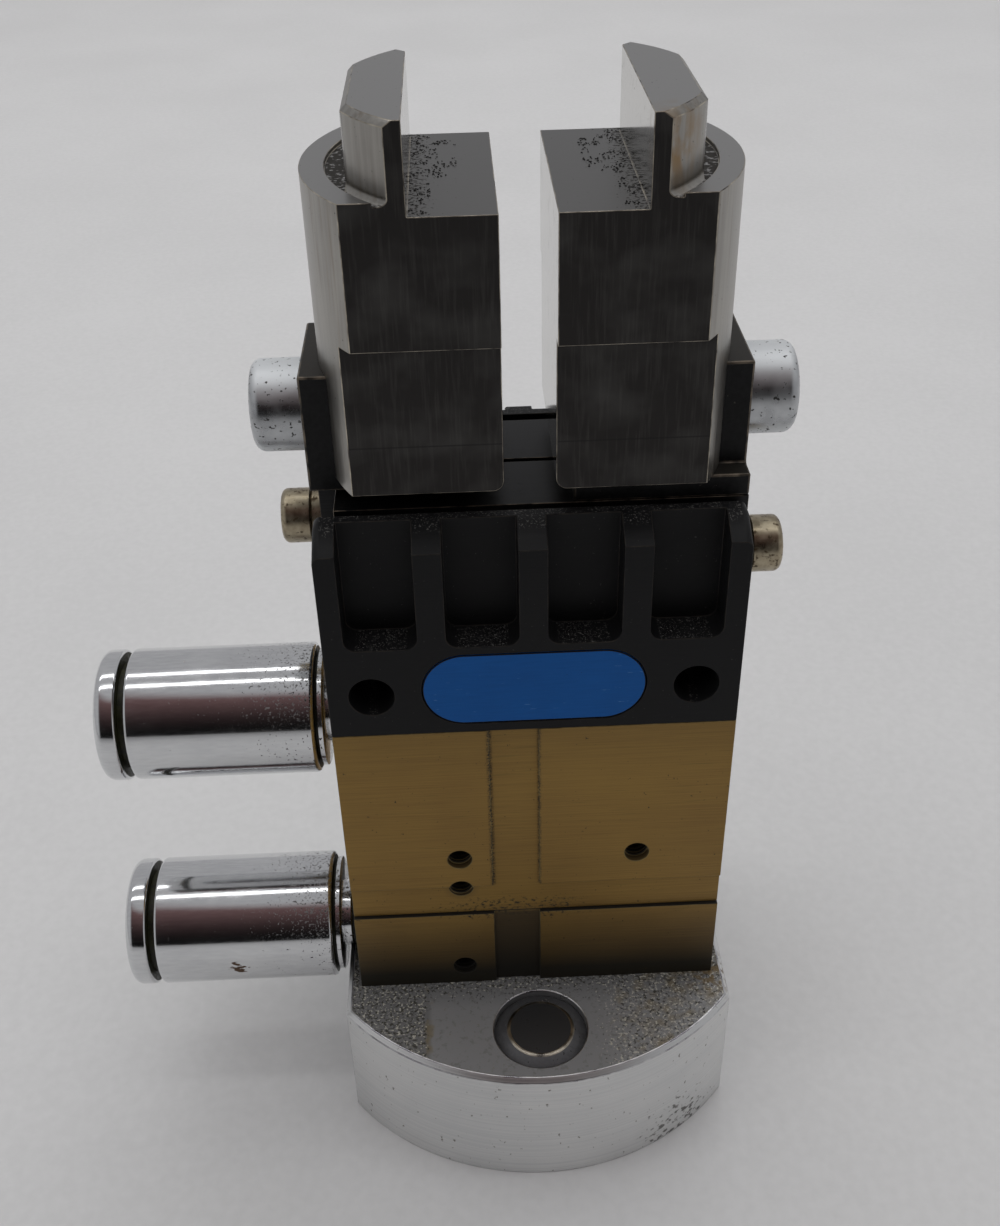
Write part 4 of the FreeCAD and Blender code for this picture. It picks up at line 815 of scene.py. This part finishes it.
lift = add(winding, "ShaderNodeCombineXYZ", {"Z": add(winding, RANGE, climb)})
path = add(winding, "GeometryNodeSetPosition", {"Geometry": path, "Offset": lift})
profile = add(winding, "GeometryNodeCurvePrimitiveCircle", {"Resolution": 12, "Radius": given["Wire"]})
wound = {"Curve": path, "Profile Curve": profile, "Fill Caps": True}
wound = add(winding, "GeometryNodeCurveToMesh", wound)
wound = add(winding, "GeometryNodeRealizeInstances", {0: wound})
wound = add(winding, "GeometryNodeSetMaterial", {"Geometry": wound, "Material": given["Finish"]})
winding.links.new(wound, winding.nodes.new("NodeGroupOutput").inputs[0])
print("nodes that wind a wire:", len(winding.nodes))

# %% [markdown]
# A tree becomes a plain mesh in one function: the modifier's inputs are set by the identifiers of their
# sockets, the object is evaluated, and the modifier goes. An empty material slot of the start mesh is
# dropped.

# %% Growing a piece from a tree
def grown(name, corners, faces, tree, values):
    piece = piece_from(name, corners, faces, [])
    modifier = piece.modifiers.new("grown", "NODES")
    modifier.node_group = tree
    sockets = {item.name: item.identifier for item in tree.interface.items_tree if item.in_out == "INPUT"}
    for label, value in values.items():
        modifier[sockets[label]] = value
    evaluated(piece)
    if piece.data.materials[0] is None:
        piece.data.materials.pop(index=0)
    return piece


# %% [markdown]
# The four small holes in the front are tapped for M3. Their thread is a wire that is wound along the wall and
# sunk in it by half, so that a ridge stands out.

# %% Tapped threads
PITCH, TURNS, WALL, RIDGE = 0.5, 4.0, 1.27, 0.2
tapped = [("upper_left", "cylinder_body"), ("lower_left", "cylinder_body")]
tapped += [("right", "cylinder_body"), ("base", "spring_housing")]
ridge_sizes = {"Coil": WALL * MM, "Wire": RIDGE * MM, "Turns": TURNS, "Height": TURNS * PITCH * MM}
for (label, node), (x, z) in zip(tapped, HOLES):
    values = {**ridge_sizes, "Flat Ends": 0.0, "Finish": gold_edge}
    ridge = grown(f"thread_{label}", [], [], winding, values)
    mouth = Vector((x * MM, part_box(node)[0].y + PITCH * MM, z * MM))
    ridge.data.transform(Matrix.Translation(mouth) @ Matrix.Rotation(math.radians(-90), 4, "X"))
    keep(ridge, node, stands=False)

# %% [markdown]
# The return spring's closed ends lie flat on their seats. In the gripper it shortens as the piston comes
# down; here it is wound at one length.

# %% Return spring
COIL, WIRE, STROKE = 6.2, 0.8, 4.0
low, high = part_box("return_spring")
tall = (high.z - low.z) / MM
values = {"Coil": COIL * MM, "Wire": WIRE * MM, "Turns": 7.0, "Height": (tall - 2 * WIRE) * MM}
values |= {"Flat Ends": 0.14, "Finish": spring_wire}
spring = grown("return_spring_wound", [], [], winding, values)
spring.data.transform(Matrix.Translation((0, 0, low.z + WIRE * MM)))
keep(spring, "return_spring")
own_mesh(spring)

# %% [markdown]
# ## Swarf
# A used gripper carries metal chips on every ledge. Scattering is a job for Geometry Nodes: points are spread
# over helper rectangles, each gets a squashed little ball with its own size and turn, and Realize Instances
# makes plain mesh of it. A noise leaves bare patches between clumps. The seed is fixed, so the chips lie the
# same way every time.

# %% The chip scatterer
CLUMP, CHIP_SHAPE, TILT = 1.4, (1.0, 0.6, 0.4), 0.4
chips = bpy.data.node_groups.new("scatter_chips", "GeometryNodeTree")
inputs = [("Patches", "Geometry"), ("Density", "Float"), ("Size", "Float"), ("Seed", "Int")]
for label, kind in [*inputs, ("Finish", "Material")]:
    chips.interface.new_socket(label, in_out="INPUT", socket_type=f"NodeSocket{kind}")
chips.interface.new_socket("Chips", in_out="OUTPUT", socket_type="NodeSocketGeometry")
given = chips.nodes.new("NodeGroupInput").outputs
spread = {"Mesh": given["Patches"], "Density": given["Density"], "Seed": given["Seed"]}
points = add(chips, "GeometryNodeDistributePointsOnFaces", spread)
ball = add(chips, "GeometryNodeMeshIcoSphere", {"Radius": 1.0, "Subdivisions": 1})
turns = {0: (0.0,) * 3, 1: (TILT, TILT, 6.28), "Seed": 7}
turn = add(chips, "FunctionNodeRandomValue", turns, data_type="FLOAT_VECTOR")
size = add(chips, "FunctionNodeRandomValue", {2: 0.3, 3: 1.0, "Seed": 3}, 1, data_type="FLOAT")
size = add(chips, MATH, {0: size, 1: given["Size"]}, operation="MULTIPLY")
flat = add(chips, "ShaderNodeVectorMath", {0: CHIP_SHAPE, "Scale": size}, operation="SCALE")
place = add(chips, "GeometryNodeInputPosition")
clumps = add(chips, NOISE, {"Vector": place, "Scale": 1 / (CLUMP * MM), "Detail": 1.0})
clumps = add(chips, MATH, {0: clumps, 1: 0.5}, operation="GREATER_THAN")
placed = {"Points": points, "Selection": clumps, "Instance": ball, "Rotation": turn, "Scale": flat}
placed = add(chips, "GeometryNodeInstanceOnPoints", placed)
real = add(chips, "GeometryNodeRealizeInstances", {0: placed})
coated = add(chips, "GeometryNodeSetMaterial", {"Geometry": real, "Material": given["Finish"]})
chips.links.new(coated, chips.nodes.new("NodeGroupOutput").inputs[0])
print("nodes that scatter chips:", len(chips.nodes))

# %% [markdown]
# The chips lie where they are thrown: on the pocket floors, along the housing's rim, on the flange near the
# body and, densest of all, at the feet of the blades. A patch is a rectangle in X and Y at a height, just
# above the face that it lies on; the density is chips per square millimetre.

# %% Scatter the chips
POCKET_PITCH, POCKET_FLOOR, HOUSING_RIM, FLANGE_TOP, FINGER_TOP = 9.37, 62.52, 74.32, 16.27, 101.72


def swarf(name, node, patches, density, size, seed, material):
    corners, faces = [], []
    for x0, x1, y0, y1, z in patches:
        start = len(corners)
        corners += [Vector(c) * MM for c in ((x0, y0, z), (x1, y0, z), (x1, y1, z), (x0, y1, z))]
        faces.append((start, start + 1, start + 2, start + 3))
    values = {"Density": density / MM**2, "Size": size * MM, "Seed": seed, "Finish": material}
    return keep(grown(name, corners, faces, chips, values), node, stands=False)


ledges = []
for ends in [(n * POCKET_PITCH - 8.0, n * POCKET_PITCH - 1.4) for n in (-1, 0, 1, 2)]:
    ledges += [(*ends, y, y + 3.2, POCKET_FLOOR) for y in (-13.7, 10.5)]
swarf("swarf_ledges", "guide_housing", ledges, 14.0, 0.08, 4, hardened)
rims = [(-18.5, 18.5, y, y + 0.9, HOUSING_RIM) for y in (-10.3, 9.4)]
swarf("swarf_rims", "guide_housing", rims, 3.0, 0.07, 5, hardened)
around = [(-19, 19, -17, -14.2, FLANGE_TOP), (-19, -12, -20, -17, FLANGE_TOP)]
around += [(-19, 19, 14.2, 18, FLANGE_TOP)]
swarf("swarf_flange", "mounting_flange", around, 3.5, 0.14, 6, hardened)
for side, way in SIDES:
    at_foot = (*sorted((way * 9.3, way * 7.6)), -10.5, 10.5, FINGER_TOP)
    thrown = (*sorted((way * 7.6, way * 5.4)), -2, 9, FINGER_TOP)
    swarf(f"swarf_{side}_dark", f"{side}_finger", [at_foot, thrown], 7.0, 0.15, 8, dark)
    swarf(f"swarf_{side}_bright", f"{side}_finger", [at_foot, thrown], 2.2, 0.10, 9, hardened)

# %% [markdown]
# ## Floor, light and camera
# The floor is pale paper with a painted shadow that greys it towards the front, which is the part that the
# front faces mirror.
# Two strip lights overhead draw the two white lines along the chrome. Two wide soft lamps fill in, and mirror
# rays don't see them, so the lines stay thin. The world is dark on the camera's side, which gives the chrome
# its black band and keeps the front faces deep. To the camera itself the world is plain pale grey.

# %% Floor
FLOOR_SIZE = 2.4
bpy.ops.mesh.primitive_plane_add(size=FLOOR_SIZE, location=(0, 0, 0))
floor = bpy.context.active_object
floor.name = "floor"
# Painted shadow: the paper greys towards the front.
painted_front_shadow = [(fade(Y, -40.0, -500.0), "a4a4a4", 0.9, 0.0)]
# Uncoated paper: pale and without any shine, greyed towards the front by a painted shadow.
paper = finish(
    "pale_paper", ("c4c4c4", "cacaca"), 0.0, (0.75, 0.9), (1.2, 1.2, 1.2), 0.01, painted_front_shadow, cloud=60.0,
)
floor.data.materials.append(paper)
print("floor side in metres:", FLOOR_SIZE)

# %% [markdown]
# The world's dark part is bounded by three masks on the direction: towards the camera's side, below the lamps
# and not far to the left or right. From below to above its tone climbs from near black to a dull red grey.

# %% World
DARK_LOW, DARK_HIGH = (0.006, 0.006, 0.006, 1), (0.17, 0.10, 0.10, 1)
ROOM, BACKDROP = (0.42, 0.42, 0.43, 1), (0.5, 0.5, 0.5, 1)
world = bpy.data.worlds.new("studio")
bpy.context.scene.world = world
world.use_nodes = True
tree = world.node_tree
toward = add(tree, "ShaderNodeTexCoord", out="Generated")
depth = add(tree, "ShaderNodeSeparateXYZ", {0: toward}, out=Y)
camera_side = add(tree, RANGE, {"Value": depth, "From Min": 0.05, "From Max": -0.2})
height = add(tree, "ShaderNodeSeparateXYZ", {0: toward}, out=Z)
below_lamps = add(tree, RANGE, {"Value": height, "From Min": 0.93, "From Max": 0.84})
aside = add(tree, "ShaderNodeSeparateXYZ", {0: toward}, out=X)
aside = add(tree, MATH, {0: aside}, operation="ABSOLUTE")
ahead = add(tree, RANGE, {"Value": aside, "From Min": 0.65, "From Max": 0.4})
dark_side = add(tree, MATH, {0: camera_side, 1: below_lamps}, operation="MULTIPLY")
dark_side = add(tree, MATH, {0: dark_side, 1: ahead}, operation="MULTIPLY")
rise = add(tree, RANGE, {"Value": height, "From Min": -0.1, "From Max": 0.9})
rise = add(tree, MATH, {0: rise, 1: 3.0}, operation="POWER")
tones = {SHARE: rise, COLOUR_A: DARK_LOW, COLOUR_B: DARK_HIGH}
dark_tone = add(tree, MIX, tones, COLOUR_OUT, data_type="RGBA")
tones = {SHARE: dark_side, COLOUR_A: ROOM, COLOUR_B: dark_tone}
room = add(tree, MIX, tones, COLOUR_OUT, data_type="RGBA")
eye = add(tree, "ShaderNodeLightPath", out="Is Camera Ray")
tones = {SHARE: eye, COLOUR_A: room, COLOUR_B: BACKDROP}
shown = add(tree, MIX, tones, COLOUR_OUT, data_type="RGBA")
tree.links.new(shown, tree.nodes["Background"].inputs["Color"])
print("world nodes:", len(tree.nodes))

# %% Lamps
AIM = (0, 0, 0.05)


def lamp(name, place, size, power, mirrored=True):
    light = bpy.data.lights.new(name, "AREA")
    light.shape = "RECTANGLE"
    light.size, light.size_y = size
    light.energy = power
    thing = bpy.data.objects.new(name, light)
    bpy.context.scene.collection.objects.link(thing)
    thing.location = place
    thing.rotation_euler = (Vector(AIM) - Vector(place)).to_track_quat("-Z", "Y").to_euler()
    thing.visible_glossy = mirrored
    print(name, power, "W")


lamp("strip_front", (0, -0.02, 0.9), (1.3, 0.07), 0.9)
lamp("strip_back", (0, 0.3, 0.85), (1.3, 0.07), 0.9)
lamp("soft_back", (0.1, 0.75, 0.7), (1.2, 0.5), 2.0, mirrored=False)
lamp("soft_top", (-0.2, 0.0, 1.2), (2.4, 2.4), 10.2, mirrored=False)

# %% [markdown]
# The camera stands 11 cm in front and 14 cm above the table and looks down by 35 degrees. Its axes are worked
# out from the three angles, so the picture lines up with the photograph. The focal length was found in pixels
# of the photograph, whose longer side is its height.

# %% Camera
FOCAL_PIXELS, PHOTO_HEIGHT, SENSOR = 1360.65, 1226, 36
PITCH_DOWN, YAW, ROLL = 35.219, 1.473, 1.46
STAND = (-5.632, -113.975, 136.941)
pitch, yaw, roll = (math.radians(angle) for angle in (PITCH_DOWN, YAW, ROLL))
forward = Vector((math.sin(yaw) * math.cos(pitch), math.cos(yaw) * math.cos(pitch), -math.sin(pitch)))
right = Vector((math.cos(yaw), -math.sin(yaw), 0))
down = forward.cross(right)
across = math.cos(roll) * right + math.sin(roll) * down
under = math.cos(roll) * down - math.sin(roll) * right
camera_data = bpy.data.cameras.new("camera")
camera_data.sensor_width = SENSOR
camera_data.lens = FOCAL_PIXELS / PHOTO_HEIGHT * SENSOR
camera_data.clip_start = 0.005
camera = bpy.data.objects.new("camera", camera_data)
bpy.context.scene.collection.objects.link(camera)
spot = Matrix((across, -under, -forward)).transposed().to_4x4()
spot.translation = Vector(STAND) * MM
camera.matrix_world = spot
bpy.context.scene.camera = camera
bpy.context.scene.view_settings.view_transform = "Standard"
print("lens in millimetres:", round(camera_data.lens, 2))
